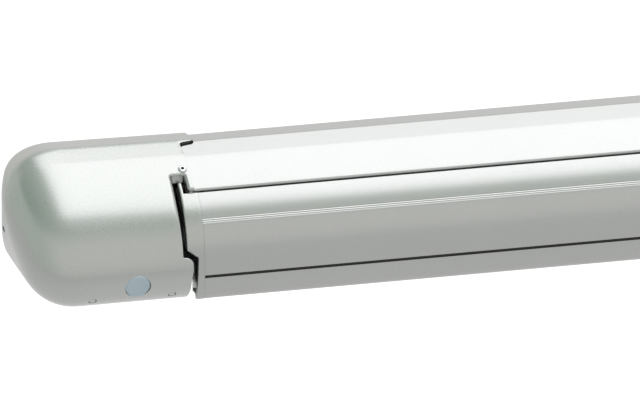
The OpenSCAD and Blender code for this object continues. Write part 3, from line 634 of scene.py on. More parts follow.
def lead_bar_box():
    path = arc(belly_c, BELLY_R - SKIN, belly_angle(ROOF_Z + SKIN, SKIN), 180 - belly_a, 0.7)
    path += arc(brow_c, BROW_R - SKIN, 180 - belly_a, brow_angle(WEB_Z, SKIN))[1:]
    return path + [(BOX_Y, WEB_Z), (BOX_Y, ROOF_Z + SKIN)]


LEAD_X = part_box("lead_bar_profile")[1].x / MM
lead_bar = extruded("lead_bar", [lead_bar_outline(), lead_bar_box()], -LEAD_X, LEAD_X)
smooth(lead_bar.data, 25)
finished(lead_bar, extrusion_silver, ["lead_bar_profile"])
print("lead bar:", len(lead_bar.data.polygons), "faces, %.0f mm long" % (2 * LEAD_X))

# %% [markdown]
# ## The end caps
# An end cap is a moulded shell. Over most of its length it has one section, and its end rounds off in a dome. A skin
# of one section can be drawn flat, as X against the length round the section, so the joint, the tongue over the
# case, the recess for the lead bar and the holes are a flat outline here. The outline is filled with small triangles
# and wrapped round the section. At the recess the skin turns in over a soft rim and goes on as a wall.

# %% From a flat drawing to a section
def directions(path):
    """The direction of a path at each of its points."""
    ways = []
    for i in range(len(path)):
        a, b = path[max(i - 1, 0)], path[min(i + 1, len(path) - 1)]
        ways.append(Vector((b[0] - a[0], b[1] - a[1])).normalized())
    return ways


def share(value, start, end):
    """How far a value has come from start to end, between 0 and 1."""
    return min(max((value - start) / (end - start), 0.0), 1.0)


def unrolled(path):
    """The length along a path, and functions that wrap a flat drawing round it and look up a place on it."""
    run, inward = [0.0], [(-way.y, way.x) for way in directions(path)]
    for a, b in zip(path, path[1:]):
        run.append(run[-1] + math.dist(a, b))

    def wrap(x, s, depth=0.0):
        i = min(max(bisect.bisect_right(run, s) - 1, 0), len(path) - 2)
        f = (s - run[i]) / (run[i + 1] - run[i])
        skin = [path[i][k] + f * (path[i + 1][k] - path[i][k]) for k in (0, 1)]
        return (x, *(skin[k] + depth * (inward[i][k] + f * (inward[i + 1][k] - inward[i][k])) for k in (0, 1)))

    def where(axis, value, after=0.0):
        for i in range(len(path) - 1):
            a, b = path[i][axis], path[i + 1][axis]
            if run[i + 1] > after and (a - value) * (b - value) <= 0 and a != b:
                return run[i] + (value - a) / (b - a) * (run[i + 1] - run[i])
        raise ValueError("the path doesn't pass there")

    return run, wrap, where


# %% Rims and skins
RIM_ROWS, CLEAR_MM = 6, 1.2


def rim_rows(path, radius_at, depth_at, draft_at):
    """Rows from the skin over a round rim into the wall behind it. The open side is on the right of the path.

    Walls that look down lean out by the draft and end sooner by as much.
    """
    out, rows = [(way.y, -way.x) for way in directions(path)], []
    for a in np.radians(np.linspace(0, 90, RIM_ROWS)):
        row = []
        for (x, s), (u, v) in zip(path, out):
            radius = radius_at(s, u)
            back = radius * (1 - math.sin(a))
            row.append((x - back * u, s - back * v, radius * (1 - math.cos(a))))
        rows.append(row)
    leans = [draft_at(x) * max(0.0, v) for (x, s), (u, v) in zip(path, out)]
    return rows + [[(x, s + lean, depth_at(x) - lean) for (x, s), lean in zip(path, leans)]]


def wrapped_skin(loops, rows, grid, wrap):
    """A filled outline on its section, with the rows of a rim. Grid points close to an edge are left out."""
    rim = np.array([p for loop in loops for p in loop])
    clear = np.array([np.min(np.hypot(*(rim - p).T)) > CLEAR_MM for p in grid])
    flat, faces, _ = fill(loops, [tuple(p) for p in grid[inside(grid, loops) & clear]])
    verts = [wrap(*p) for p in flat]
    first, n = len(verts), len(rows[0])
    for row in rows:
        verts += [wrap(*p) for p in row]
    for k in range(first, first + (len(rows) - 1) * n, n):
        faces += [(k + i, k + i + 1, k + n + i + 1, k + n + i) for i in range(n - 1)]
    return verts, faces


# %% Section of a cap
HALF_X, SEAM_X = 1300.0, LEAD_X
CAP_PROUD = CAP_WALL + SEAT
BULGE_R, BULGE_FROM, BULGE_TO = 116.0, 123.0, 173.0
CHIN_R, CHIN_TO = 36.4, 271.0
bulge_c = on_arc(hood_c, HOOD_R - BULGE_R, BULGE_FROM)
chin_c = on_arc(bulge_c, BULGE_R - CHIN_R, BULGE_TO)


def cap_section():
    t = -CAP_PROUD
    path = top_path(t, BULGE_FROM) + arc(bulge_c, BULGE_R - t, BULGE_FROM, BULGE_TO)[1:]
    path += arc(chin_c, CHIN_R - t, BULGE_TO, CHIN_TO, 2.5)[1:] + [floor_edge(t)]
    path += arc(floor_c, FLOOR_R - t, FLOOR_A, 360, 6)
    return spaced(path + path[:1], 5.0)


END_ROUND, CROWN_RISE, RISE_FROM = 66.0, 2.4, -1089.5
END_C = (FRONT_Y + 74, 20.0)
DOME_X = END_ROUND - HALF_X


def crowned(x, y, z):
    """The crown of a cap rises a little from the joint to the rounded end."""
    return (x, y, z + CROWN_RISE * share(z, END_C[1], CREASE[1]) * share(x, RISE_FROM, DOME_X))


section = cap_section()
girth, plain_wrap, girth_where = unrolled(section)


def cap_wrap(x, s, depth=0.0):
    return crowned(*plain_wrap(x, s, depth))


print("cap section: %d points, %.0f mm round" % (len(section), girth[-1]))

# %% [markdown]
# ## Outline and holes of a cap
# The flat outline runs along the joint, round the tongue and along the recess for the lead bar. Places on it are
# looked up by their height or depth in the section, so they stay right if an arc changes. The rim of the recess is
# wide where the moulding is thick and narrow further down, as a moulder would round it.

# %% Flat outline of a cap
TAB_X, RETURN_DEEP, TAB_DEEP, DRAFT = SEAM_X + 11.2, 13.0, 7.0, 5.0
RIM_R, SIDE_RIM_R, LOW_RIM_R, RIM_FROM_Z, RIM_TO_Z = 3.2, 4.6, 1.2, FRONT_Z + 73, FRONT_Z + 39
RECESS_X, RECESS_A, RECESS_FOOT_Z = SEAM_X + 25.5, 121.0, FRONT_Z + 21.5
LOW_X, LOW_Y, LEAN, LEAN_FROM_Z, LEAN_TO_Z = SEAM_X + 14.7, FRONT_Y + 62, 1.8, FRONT_Z + 8, FRONT_Z - 4
TONGUE_LONG, SKIRT_STEPS = 40.0, 30
tongue_back = girth_where(0, CREASE[0] + TONGUE_LONG)
tongue_tip, tongue_root = girth_where(0, TIP_Y), girth_where(0, ROOT_Y)


def down_front(z):
    """Where the front of the section passes a height."""
    return girth_where(1, z, tongue_root)


recess_top, tab_foot = [down_front(on_arc(hood_c, HOOD_R, a)[1]) for a in (RECESS_A, HOOD_TO)]
recess_foot, lean_from, lean_to = [down_front(z) for z in (RECESS_FOOT_Z, LEAN_FROM_Z, LEAN_TO_Z)]
rim_from, rim_to = down_front(RIM_FROM_Z), down_front(RIM_TO_Z)
low_end = girth_where(0, LOW_Y, lean_to)
recess_edge = spaced(rounded([
    (-JOINT_X, tab_foot, 0), (-TAB_X, tab_foot, 3.6), (-TAB_X, recess_top, 2.0), (-RECESS_X, recess_top, 2.0),
    (-RECESS_X, recess_foot, 2.0), (-LOW_X, recess_foot, 8.0), (-LOW_X, lean_from, 20.0),
    (-LOW_X - LEAN, lean_to, 20.0), (-LOW_X - LEAN, low_end, 0)]), 1.5)


def recess_radius(s, u):
    """The rim is wide round the top of the recess, wider where it looks along the case, and narrow further down."""
    wide = RIM_R + (SIDE_RIM_R - RIM_R) * max(u, 0.0)
    return wide + (LOW_RIM_R - wide) * share(s, rim_from, rim_to)


recess_rim = rim_rows(recess_edge, recess_radius, lambda x: RETURN_DEEP if x < 0.5 - TAB_X else TAB_DEEP,
                      lambda x: DRAFT if x < 0.5 - TAB_X else 0.0)
joint_edge = rounded([
    (-JOINT_X, 0.0, 0), (-JOINT_X, tongue_back, 3.0), (-TONGUE_X, tongue_back, 4.0),
    (-TONGUE_X, tongue_tip, TONGUE_R), (-JOINT_X, tongue_root, TONGUE_R), (-JOINT_X, tab_foot - RIM_R, 0)])
rim_start = [p[:2] for p in recess_rim[0]]
joint_edge = spaced(joint_edge, 3.0)[:-1] + rim_start + [(-JOINT_X, low_end), (-JOINT_X, girth[-1])]
skirt = [(DOME_X + (-JOINT_X - DOME_X) * i / SKIRT_STEPS, 0.0) for i in range(SKIRT_STEPS + 1)]
cap_outline = skirt[:-1] + spaced(joint_edge, 4.0)[:-1]
cap_outline += [(x, girth[-1]) for x, _ in reversed(skirt)][:-1] + [(DOME_X, g) for g in reversed(girth)][:-1]
print("cap outline:", len(cap_outline), "points")

# %% Holes of a cap
SCREW_X, SCREW_A, SCREW_LIFT, SCREW_HOLE_R = SEAM_X + 11.7, 119.9, 0.3, 2.7
PLUG_X, PLUG_SLOPE, PLUG_R, PLUG_SINK, PLUG_GAP = HALF_X - 124, 20.0, 13.5, 1.2, 0.3
COVER_X, COVER_A, COVER_R, COVER_GAP = (SEAM_X + 122.5, SEAM_X + 36), 224.0, 3.7, 0.7
screw_yz = on_arc(hood_c, HOOD_R + CAP_PROUD + SCREW_LIFT, SCREW_A)
plug_yz = on_arc(chin_c, CHIN_R + CAP_PROUD, 180 + PLUG_SLOPE)
cover_yz = on_arc(chin_c, CHIN_R + CAP_PROUD, COVER_A)
screw_hole = circle((-SCREW_X, girth_where(0, screw_yz[0])), SCREW_HOLE_R, 15)
plug_hole = circle((-PLUG_X, down_front(plug_yz[1])), PLUG_R + PLUG_GAP, 6)
cover_holes = [circle((-x, down_front(cover_yz[1])), COVER_R + COVER_GAP, 12) for x in COVER_X]
print("holes: screw, plug and", len(cover_holes), "covers")

# %% [markdown]
# ## Shell of a cap
# The rounded end is made of rings: the section, made smaller step by step towards the tip on a curve a little
# fuller than a circle. The skin then gets its wall by a Solidify modifier. The right cap is the left one mirrored,
# without the hole for the crank.

# %% Rounded end of a cap
END_STEP, END_TO, FACE_RINGS = 3.0, 70.5, 10
END_TAPER, END_DOME, END_POWER, FACE_POWER = 0.6, 8.0, 2.2, 1.78
END_HOLE, SOFTEN, GRID_MM = (FRONT_Y + 87, -5.0), 8, 4.0


def end_steps():
    """Rings of the rounded end: distance from its tip and size of the section there."""
    steps = []
    for a in np.radians(np.arange(END_STEP, END_TO, END_STEP)):
        x = END_DOME + (END_ROUND - END_DOME) * (1 - math.sin(a) ** (2 / END_POWER))
        steps.append((x, 1 - END_TAPER * (1 - math.cos(a) ** (2 / END_POWER))))
    x0, size0 = steps[-1]
    # The end face goes on as a low dome that closes at the tip
    return steps + [(x0 * k ** FACE_POWER, size0 * k) for k in np.linspace(0.9, 0.0, FACE_RINGS)]


def dome_ring(i, x, size):
    """A ring of the rounded end. The creases of the section fade over the first rings."""
    ring, m, fade = [], len(section) - 1, min(1.0, i / SOFTEN)
    for j in range(m):
        near = [section[(j + k) % m] for k in (-2, -1, 0, 1, 2)]
        soft = [sum(q[k] for q in near) / len(near) for k in (0, 1)]
        at = [section[j][k] + fade * (soft[k] - section[j][k]) for k in (0, 1)]
        _, y, z = crowned(DOME_X, *at)
        ring.append((x, END_C[0] + size * (y - END_C[0]), END_C[1] + size * (z - END_C[1])))
    return ring


print("rounded end:", len(end_steps()), "rings")


# %% Shell of a cap
CAP_INSIDE, CAP_EDGE, MOULD_SHARP = (100 - HALF_X, -85, 0), 0.5, 50
DRILL_GAP, DRILL_FROM, DRILL_TO = 0.1, -HALF_X - 5, 20 - HALF_X


def cap_skin(with_plug):
    loops = [cap_outline, screw_hole] + cover_holes + ([plug_hole] if with_plug else [])
    grid = np.array([(x, s) for x in np.arange(DOME_X + GRID_MM, -TONGUE_X, GRID_MM) for s in girth[1:-1]])
    verts, faces = wrapped_skin(loops, recess_rim, grid, cap_wrap)
    rings = [(END_ROUND, 1.0)] + end_steps()
    m, first = len(section) - 1, len(verts)
    for i, (x, size) in enumerate(rings):
        verts += dome_ring(i, x - HALF_X, size)
    for i in range(len(rings) - 1):
        for j in range(m):
            a, b = first + i * m + j, first + i * m + (j + 1) % m
            faces.append((a, b, b + m, a + m))
    return mesh_of("cap", verts, faces)


def outward_from(mesh, centre_mm):
    """Turns an open skin so that it faces away from a point inside it."""
    centre = Vector(centre_mm) * MM
    if sum(f.normal.dot(f.center - centre) * f.area for f in mesh.polygons) < 0:
        mesh.flip_normals()


def thickened(name, mesh, inner_mm, wall_mm):
    tidy_mesh(mesh)
    outward_from(mesh, inner_mm)
    shell = new_object(name, mesh)
    wall = shell.modifiers.new("wall", "SOLIDIFY")
    wall.thickness, wall.offset, wall.use_even_offset = wall_mm * MM, -1.0, True
    return baked(shell)


def end_cap(node, right_end):
    cap = thickened(node + "_shell", cap_skin(not right_end), CAP_INSIDE, CAP_WALL)
    bevelled(cap, CAP_EDGE, MOULD_SHARP)
    drill = extruded("drill", [circle(END_HOLE, COVER_R + DRILL_GAP)], DRILL_FROM, DRILL_TO)
    boolean(cap, drill, "DIFFERENCE")
    boolean(cap, tongue_gap(1), "DIFFERENCE")
    if right_end:
        mirrored(cap.data)
    smooth(cap.data, 35)
    return finished(cap, cap_silver, [node])


left_cap = end_cap("left_end_cap", False)
right_cap = end_cap("right_end_cap", True)
print("caps:", len(left_cap.data.polygons), "and", len(right_cap.data.polygons), "faces")

# %% [markdown]
# ## Lead bar ends
# Each end of the lead bar has a moulded cap of its own. It carries the bar's skin on for a few millimetres, stands
# 0.4 mm proud of it and steps back over its lower half, where the end cap of the case reaches under it. It is drawn
# flat and wrapped in the same way, with a soft rim, and a plate behind it closes the hollow bar.

# %% Lead bar ends
END_W, FIN_X, STEP_IN, STEP_TOP, STEP_FOOT, END_LEAN = 19.5, 16.0, 7.4, -17.3, -25.3, 1.7
END_RIM, END_WALL, END_DEEP, END_GAP, PLATE_T, PLATE_IN = 2.0, 2.0, 12.0, 0.25, 3.0, 0.8
END_INSIDE, END_EDGE = (-SEAM_X - 4, FRONT_Y + 60, -20), 0.3


def skin_arcs(out, top):
    """The lead bar's front from an angle on the brow to the toe, moved outward."""
    path = arc(brow_c, BROW_R + out, 180 - top, 180 - belly_a)
    path += arc(belly_c, BELLY_R + out, 180 - belly_a, 180 + toe_a, 0.6)[1:]
    return path + arc(toe_c, TOE_R + out, 180 + toe_a, 270, 8)[1:]


end_run, end_wrap, end_where = unrolled(spaced(skin_arcs(END_PROUD, FIN_TOP), 4.0))
ear_foot = end_where(1, on_arc(brow_c, BROW_R + END_PROUD, 180 - BROW_TOP)[1])
end_edge = spaced(rounded([
    (-SEAM_X - STEP_IN - END_LEAN, end_run[-1], 0), (-SEAM_X - STEP_IN, end_where(1, STEP_FOOT), 2.5),
    (-SEAM_X - END_W, end_where(1, STEP_TOP), 3.0), (-SEAM_X - END_W, 0.0, 2.3), (-SEAM_X - FIN_X, 0.0, 0)]), 1.5)
end_rim = rim_rows(end_edge, lambda s, u: END_RIM, lambda x: END_DEEP, lambda x: 0.0)
end_outline = [p[:2] for p in end_rim[0]] + spaced([
    (-SEAM_X - FIN_X, END_RIM), (-SEAM_X - FIN_X, ear_foot), (-SEAM_X - END_GAP, ear_foot),
    (-SEAM_X - END_GAP, end_run[-1])], 4.0)[1:]
end_plate = skin_arcs(-PLATE_IN, BROW_TOP - 1) + [
    (REAR_Y + SKIN, BASE_Z), (REAR_Y + SKIN, ROOF_Z + SKIN), (BOX_Y + SKIN, ROOF_Z + SKIN), (BOX_Y + SKIN, WEB_Z)]


def lead_bar_end(node, right_end):
    grid = np.array([(x, s) for x in np.arange(3 - SEAM_X - END_W, -SEAM_X - 1, GRID_MM) for s in end_run[1:-1]])
    mesh = mesh_of(node, *wrapped_skin([end_outline], end_rim, grid, end_wrap))
    end = thickened(node + "_shell", mesh, END_INSIDE, END_WALL)
    boolean(end, extruded("plate", [end_plate], -SEAM_X - PLATE_T, -SEAM_X - END_GAP), "UNION")
    bevelled(end, END_EDGE, MOULD_SHARP)
    if right_end:
        mirrored(end.data)
    smooth(end.data, 35)
    return finished(end, cap_silver, [node])


left_end = lead_bar_end("lead_bar_left_end", False)
right_end = lead_bar_end("lead_bar_right_end", True)
print("lead bar ends:", len(left_end.data.polygons), "faces each")

# %% [markdown]
# ## Turned pieces
# The plug is moulded round, with a soft rim and a shallow dish in its face. A round piece is a profile turned about
# an axis. The axis is stood on the cap's skin with a matrix, and the matrix is applied to the mesh.

# %% Crank plug
def on_skin(x, yz, angle):
    """Stands local +Z along the outward normal at an angle of the section."""
    return Matrix.Translation(Vector((x, *yz)) * MM) @ Matrix.Rotation(math.radians(angle - 90), 4, "X")


def turned(name, profile, place, segments=64):
    verts, faces, n = [], [], len(profile)
    for k in range(segments):
        a = 2 * math.pi * k / segments
        verts += [(r * math.cos(a), r * math.sin(a), z) for r, z in profile]
    for k in range(segments):
        here, there = k * n, (k + 1) % segments * n
        faces += [(here + i, there + i, there + i + 1, here + i + 1) for i in range(n - 1)]
    mesh = mesh_of(name, verts, faces)
    tidy_mesh(mesh)
    mesh.transform(place)
    return new_object(name, mesh)


PLUG_EDGE, FLANGE, STEM_DEEP = 0.9, 3.0, 14.0
stem_r, hollow_r = PLUG_R - 1.5, PLUG_R - 3.5
rim = [(PLUG_R - PLUG_EDGE + PLUG_EDGE * math.sin(a), PLUG_EDGE * math.cos(a) - PLUG_EDGE)
       for a in np.radians(range(0, 91, 15))]
dish = [(0.0, -0.55), (7.0, -0.5), (10.6, -0.35), (11.6, -0.05), (12.1, 0.0)]
stem = [(PLUG_R, -FLANGE), (stem_r, -FLANGE - 0.1), (stem_r, -STEM_DEEP), (hollow_r, -STEM_DEEP),
        (hollow_r, -FLANGE), (0.0, -FLANGE)]
plug_axis = on_skin(-PLUG_X, plug_yz, 180 + PLUG_SLOPE)
plug = turned("crank_plug", [(r, z - PLUG_SINK) for r, z in dish + rim + stem], plug_axis)
smooth(plug.data, 40)
finished(plug, plug_blue, ["override_plug"])
print("crank plug: %.0f mm across" % (2 * PLUG_R))

# %% [markdown]
# ## Screws and covers
# The same button-head screw and the same small cover come up again and again, so Geometry Nodes place them. A mesh
# of bare points says where each one goes, and its attribute says how it is turned. The tree makes one head from its
# sizes, puts a copy on each point and makes the copies real. Sizes and material are named inputs, so one tree
# serves screws and covers.

# %% Trees and their inputs
def new_tree(name, *sizes):
    """A Geometry Nodes tree, the identifiers of its named inputs and the sockets that bring their values."""
    tree = bpy.data.node_groups.new(name, "GeometryNodeTree")
    tree.interface.new_socket("Shape", in_out="OUTPUT", socket_type="NodeSocketGeometry")
    kinds = {"Start": "Geometry", **dict.fromkeys(sizes, "Float"), "Material": "Material"}
    keys = {key: tree.interface.new_socket(key, in_out="INPUT", socket_type="NodeSocket" + kind).identifier
            for key, kind in kinds.items()}
    return tree, keys, add(tree, "NodeGroupInput").outputs


def close_tree(tree, shape, material):
    """The end of a tree: copies become real and get their material."""
    real = add(tree, "GeometryNodeRealizeInstances", {"Geometry": shape})
    painted = add(tree, "GeometryNodeSetMaterial", {"Geometry": real, "Material": material})
    add(tree, "NodeGroupOutput", {0: painted})


def grown(name, mesh, tree, keys, values):
    """A piece that a tree makes from a mesh. The inputs are set by their identifiers."""
    piece = new_object(name, mesh)
    nodes = piece.modifiers.new("nodes", "NODES")
    nodes.node_group = tree
    for key, value in values.items():
        nodes[keys[key]] = value
    return baked(piece)


# %% A tree that places heads on points
FLAT = 0.7
HEAD_SIZES = ("Radius", "Height", "Socket", "Depth")


def head_tree():
    """A low dome with a flat top and a hexagon socket, on every point."""
    tree, keys, given = new_tree("button_heads", *HEAD_SIZES)
    radius, height, socket, depth = [given[key] for key in HEAD_SIZES]

    def rod(sides, across, length, rise):
        made = add(tree, "GeometryNodeMeshCylinder", {
            "Vertices": sides, "Radius": across, "Depth": calc(tree, "MULTIPLY", length, 2.0)}, fill_type="NGON")
        lift = add(tree, "ShaderNodeCombineXYZ", {"Z": rise})
        return add(tree, "GeometryNodeTransform", {"Geometry": made, "Translation": lift})

    def cut(shape, tool):
        return add(tree, "GeometryNodeMeshBoolean", {"Mesh 1": shape, "Mesh 2": tool}, operation="DIFFERENCE")

    ball = add(tree, "GeometryNodeMeshUVSphere", {"Segments": 32, "Rings": 16, "Radius": 1.0})
    size = add(tree, "ShaderNodeCombineXYZ", {"X": radius, "Y": radius, "Z": height})
    dome = add(tree, "GeometryNodeTransform", {"Geometry": ball, "Scale": size})
    wide = calc(tree, "MULTIPLY", radius, 2.0)
    top = rod(32, wide, height, calc(tree, "MULTIPLY", height, 1 + FLAT))
    head = cut(cut(dome, top), rod(6, socket, depth, height))
    turn = add(tree, "GeometryNodeInputNamedAttribute", {"Name": "turn"}, data_type="FLOAT_VECTOR")
    dots = add(tree, "GeometryNodeMeshToPoints", {"Mesh": given["Start"]})
    copies = add(tree, "GeometryNodeInstanceOnPoints", {
        "Points": dots, "Instance": head, "Rotation": turn.outputs["Attribute"]})
    close_tree(tree, copies, given["Material"])
    return tree, keys


heads, head_keys = head_tree()


def placed_heads(name, places, sizes_mm, material):
    mesh = bpy.data.meshes.new(name)
    mesh.from_pydata([p.to_translation() for p in places], [], [])
    turn = mesh.attributes.new("turn", "FLOAT_VECTOR", "POINT")
    for i, p in enumerate(places):
        turn.data[i].vector = p.to_euler()
    values = {key: size * MM for key, size in zip(HEAD_SIZES, sizes_mm)}
    made = grown(name, mesh, heads, head_keys, {**values, "Material": material})
    smooth(made.data, 40)
    return made


print("head tree:", len(heads.nodes), "nodes")

# %% Button-head screws
BUTTON_R, BUTTON_H, KEY_R, KEY_DEEP = 4.75, 2.8, 2.1, 5.0
screw_places = [on_skin(side * SCREW_X, screw_yz, SCREW_A) for side in (-1, 1)]
cap_screws = placed_heads("cap_button_screws", screw_places, (BUTTON_R, BUTTON_H, KEY_R, KEY_DEEP), bright_steel)
finished(cap_screws, bright_steel, ["cap_screws"])
# The walls of the hex socket get a black steel: painted shade for the dark inside of the socket
cap_screws.data.materials.append(socket_shade_steel)
for place in screw_places:
    axis, back = place.to_3x3().col[2], place.inverted()
    for face in cap_screws.data.polygons:
        if (back @ face.center).xy.length < KEY_R * MM and abs(face.normal.dot(axis)) < 0.5:
            face.material_index = 1
print("screws:", len(screw_places))

# %% Hole covers
COVER_H, COVER_SINK, DIMPLE_R, DIMPLE_DEEP, END_COVER_IN = 0.5, 0.42, 0.6, 0.2, 8.0
sunk = Matrix.Translation((0, 0, -COVER_SINK * MM))
cover_places = [on_skin(side * x, cover_yz, COVER_A) @ sunk for x in COVER_X for side in (-1, 1)]
for side in (-1, 1):
    stand = Matrix.Translation(Vector((side * (HALF_X - END_COVER_IN), *END_HOLE)) * MM)
    cover_places.append(stand @ Matrix.Rotation(side * math.pi / 2, 4, "Y"))
covers = placed_heads("hole_covers", cover_places, (COVER_R, COVER_H, DIMPLE_R, DIMPLE_DEEP), cap_silver)
finished(covers, cap_silver, ["cover_plugs"])
print("covers:", len(cover_places))

# %% [markdown]
# ## Arm springs
# The upper arms hold a long tension spring. Its shape follows a rule, so Geometry Nodes draw it: a spiral curve with
# a round wire swept along it.

# %% Arm springs
SPRING_R, WIRE_R, COIL_PITCH = 8.6, 1.5, 3.9


def spring_tree():
    tree, keys, given = new_tree("tension_spring", "Turns", "Length", "Coil radius", "Wire radius")
    coil = given["Coil radius"]
    spiral = add(tree, "GeometryNodeCurveSpiral", {
        "Resolution": 20, "Rotations": given["Turns"], "Start Radius": coil, "End Radius": coil,
        "Height": given["Length"]})
    wire = add(tree, "GeometryNodeCurvePrimitiveCircle", {
        "Resolution": 8, "Radius": given["Wire radius"]}, mode="RADIUS")
    swept = add(tree, "GeometryNodeCurveToMesh", {"Curve": spiral, "Profile Curve": wire, "Fill Caps": True})
    close_tree(tree, swept, given["Material"])
    return tree, keys


wound_wire, wire_keys = spring_tree()
for side in ("left", "right"):
    node = side + "_arm_spring"
    low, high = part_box(node)
    length = high.x - low.x - 2 * WIRE_R * MM
    spring = grown(node + "_coil", bpy.data.meshes.new(node), wound_wire, wire_keys, {
        "Turns": length / (COIL_PITCH * MM), "Length": length, "Coil radius": SPRING_R * MM,
        "Wire radius": WIRE_R * MM, "Material": zinc_steel})
    middle = (low + high) / 2
    start = Matrix.Translation((low.x + WIRE_R * MM, middle.y, middle.z))
    spring.data.transform(start @ Matrix.Rotation(math.pi / 2, 4, "Y"))
    smooth(spring.data, 60)
    finished(spring, zinc_steel, [node])
    print(spring.name, len(spring.data.polygons), "faces")

# %% [markdown]
# ## Castings, tubes and small parts
# The hidden mechanism already has its right shape in the CAD frame. What it lacks is the soft edge that every cast,
# sawn or moulded part has. Each part is a copy of its CAD mesh with the doubles merged, flat faces joined and the
# sharp edges rounded, in the finish of its own material. The end plates get a black that is painted shade, so that
# the joint behind the caps stays as dark as its shadow.

# %% Dress the CAD parts
# The finish of each material slot and the rounding of its edges in millimetres
DRESS = {"extrusion": (extrusion_silver, 0.4), "casting": (cast_aluminium, 0.7), "bush": (bearing_bronze, 0.3),
         "plain_metal": (mill_aluminium, 0.3), "steel": (zinc_steel, 0.3), "seal": (black_rubber, 0.2),
         "black_plastic": (black_nylon, 0.4)}
CAD_WELD_MM, FLAT_WITHIN, SHARP_FROM = 0.005, 0.4, 40


def dressed(node):
    finish, edge_mm = DRESS[slot_of_node[node]]
    mesh = frame["nodes"][node].data.copy()
    work = bmesh.new()
    work.from_mesh(mesh)
    bmesh.ops.remove_doubles(work, verts=work.verts, dist=CAD_WELD_MM * MM)
    bmesh.ops.dissolve_limit(work, angle_limit=math.radians(FLAT_WITHIN), verts=work.verts, edges=work.edges)
    work.to_mesh(mesh)
    work.free()
    part = new_object(node + "_dressed", mesh)
    bevelled(part, edge_mm, SHARP_FROM)
    smooth(part.data, SHARP_FROM)
    # The end plates take the black of painted shade, for the dark joint
    return finished(part, shade_black if node.endswith("end_plate") else finish, [node])


plain = [node for node in body_of_node if node not in modelled and slot_of_node[node] in DRESS]
parts = [dressed(node) for node in plain]
print("dressed", len(parts), "CAD parts")

# %% [markdown]
# ## The cloth
# Most of the cloth is wound on the roller, one turn on the next. It is modelled as what it is: one long sheet on a
# spiral. The rest runs from the roll to the bead in the lead bar, as a short flat sheet.

# %% Cloth on the roller
CLOTH_X, CLOTH_T, LAYER, CORE_GAP, SPIRAL_STEP = 1090.0, 0.4, 0.45, 0.5, 8.0
leave_a = math.degrees(math.atan2(leave_pt[1] - ROLL_C[1], leave_pt[0] - ROLL_C[0]))


def sheet_piece(name, rail, across):
    """A sheet as wide as the cloth, along a path in the section, and the length of that path."""
    n = across + 1
    verts = [(x, *p) for p in rail for x in np.linspace(-CLOTH_X, CLOTH_X, n)]
    corners = [i * n + j for i in range(len(rail) - 1) for j in range(across)]
    made = new_object(name, mesh_of(name, verts, [(c, c + 1, c + n + 1, c + n) for c in corners]))
    tidy_mesh(made.data)
    wall = made.modifiers.new("thickness", "SOLIDIFY")
    wall.thickness, wall.offset = CLOTH_T * MM, 0.0
    baked(made)
    smooth(made.data, 50)
    made.data.materials.append(canvas)
    return made, sum(math.dist(a, b) for a, b in zip(rail, rail[1:]))


turns = (ROLL_R - CLOTH_OFF - CORE_R - CORE_GAP) / LAYER
spiral = [on_arc(ROLL_C, CORE_R + CORE_GAP + LAYER * (turns - a / 360), leave_a - a)
          for a in np.arange(0, 360 * turns, SPIRAL_STEP)][::-1]
roll, roll_run = sheet_piece("cloth_roll", spiral, 8)
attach(roll, "roller")
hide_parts("fabric_roll")
print("cloth on the roller: %.1f turns, %.2f m" % (turns, roll_run * MM))

# %% Cloth from the roll to the bead
MOUTH_R, SPAN_STEPS = 3.2, 24
mouth = on_arc(BEAD_C, MOUTH_R, cloth_dir)
above = on_arc((0, 0), CLOTH_OFF, cloth_dir + 90)
ends = [(leave_pt[0] + above[0], leave_pt[1] + above[1]), mouth]
span = [tuple(ends[0][k] + (ends[1][k] - ends[0][k]) * i / SPAN_STEPS for k in (0, 1))
        for i in range(SPAN_STEPS + 1)]
canopy, canopy_run = sheet_piece("canopy_cloth", span, 16)
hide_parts("canopy_fabric")
Vector((0, *ends[0])) * MM
Vector((0, *ends[1])) * MM
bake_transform(canopy)
print("cloth in the gap: %.0f mm" % canopy_run)

# %% [markdown]
# ## Floor and light
# The awning hangs on a wall about two metres up, so the floor lies well below it. The floor is pale and the sky is
# white to the camera and in reflections, which is what a white studio shows. A wide soft panel overhead gives the
# long highlight on the hood and the brow.

# %% Floor
FLOOR_DROP, FLOOR_SIDE, WEAR_MM = -2.12, 60.0, 2500.0
SEEN_GLOW, CAMERA_GLOW = 0.305, 0.34
WHITE = (1, 1, 1, 1)


def light_path(tree):
    """The kinds of ray, and whether this one comes off or through a surface."""
    path = add(tree, "ShaderNodeLightPath").outputs
    return path, calc(tree, "MAXIMUM", path["Is Glossy Ray"], path["Is Transmission Ray"])


def studio_floor():
    material, tree, place = new_material("pale_studio_floor")
    path, bounced = light_path(tree)
    lit = calc(tree, "MULTIPLY", calc(tree, "MAXIMUM", path["Is Camera Ray"], bounced), SEEN_GLOW)
    wear = ranged(tree, noise(tree, place, WEAR_MM, 2.0), 0.97, 1.0)
    close_material(tree, {
        "Base Color": shaded(tree, linear("#E6E6E6")[:3], wear), "Roughness": 0.9, "Emission Color": WHITE,
        "Emission Strength": calc(tree, "MULTIPLY_ADD", path["Is Camera Ray"], CAMERA_GLOW, lit)})
    return material


half = FLOOR_SIDE / 2 / MM
corners = [(x, y, FLOOR_DROP / MM) for x, y in ((-half, -half), (half, -half), (half, half), (-half, half))]
floor = new_object("studio_floor", mesh_of("studio_floor", corners, [(0, 1, 2, 3)]))
floor.data.materials.append(studio_floor())
print("floor: %.0f m wide" % FLOOR_SIDE)

# %% [markdown]
# ## Sky and panel
# The sky is plain white to the camera. What the silver reflects is a room: bright near the horizon, darker overhead
# and to the left, so that the curved skins show their shape. One wide area lamp stands for the soft panel.

# %% Light
HORIZON, CEILING, LEFT_WALL = (1.03, 1.02, 1.01, 1), (0.60, 0.69, 0.63, 1), (0.76, 0.84, 0.80, 1)
SKY_LIGHT, SKY_BEHIND = 0.6, 0.895
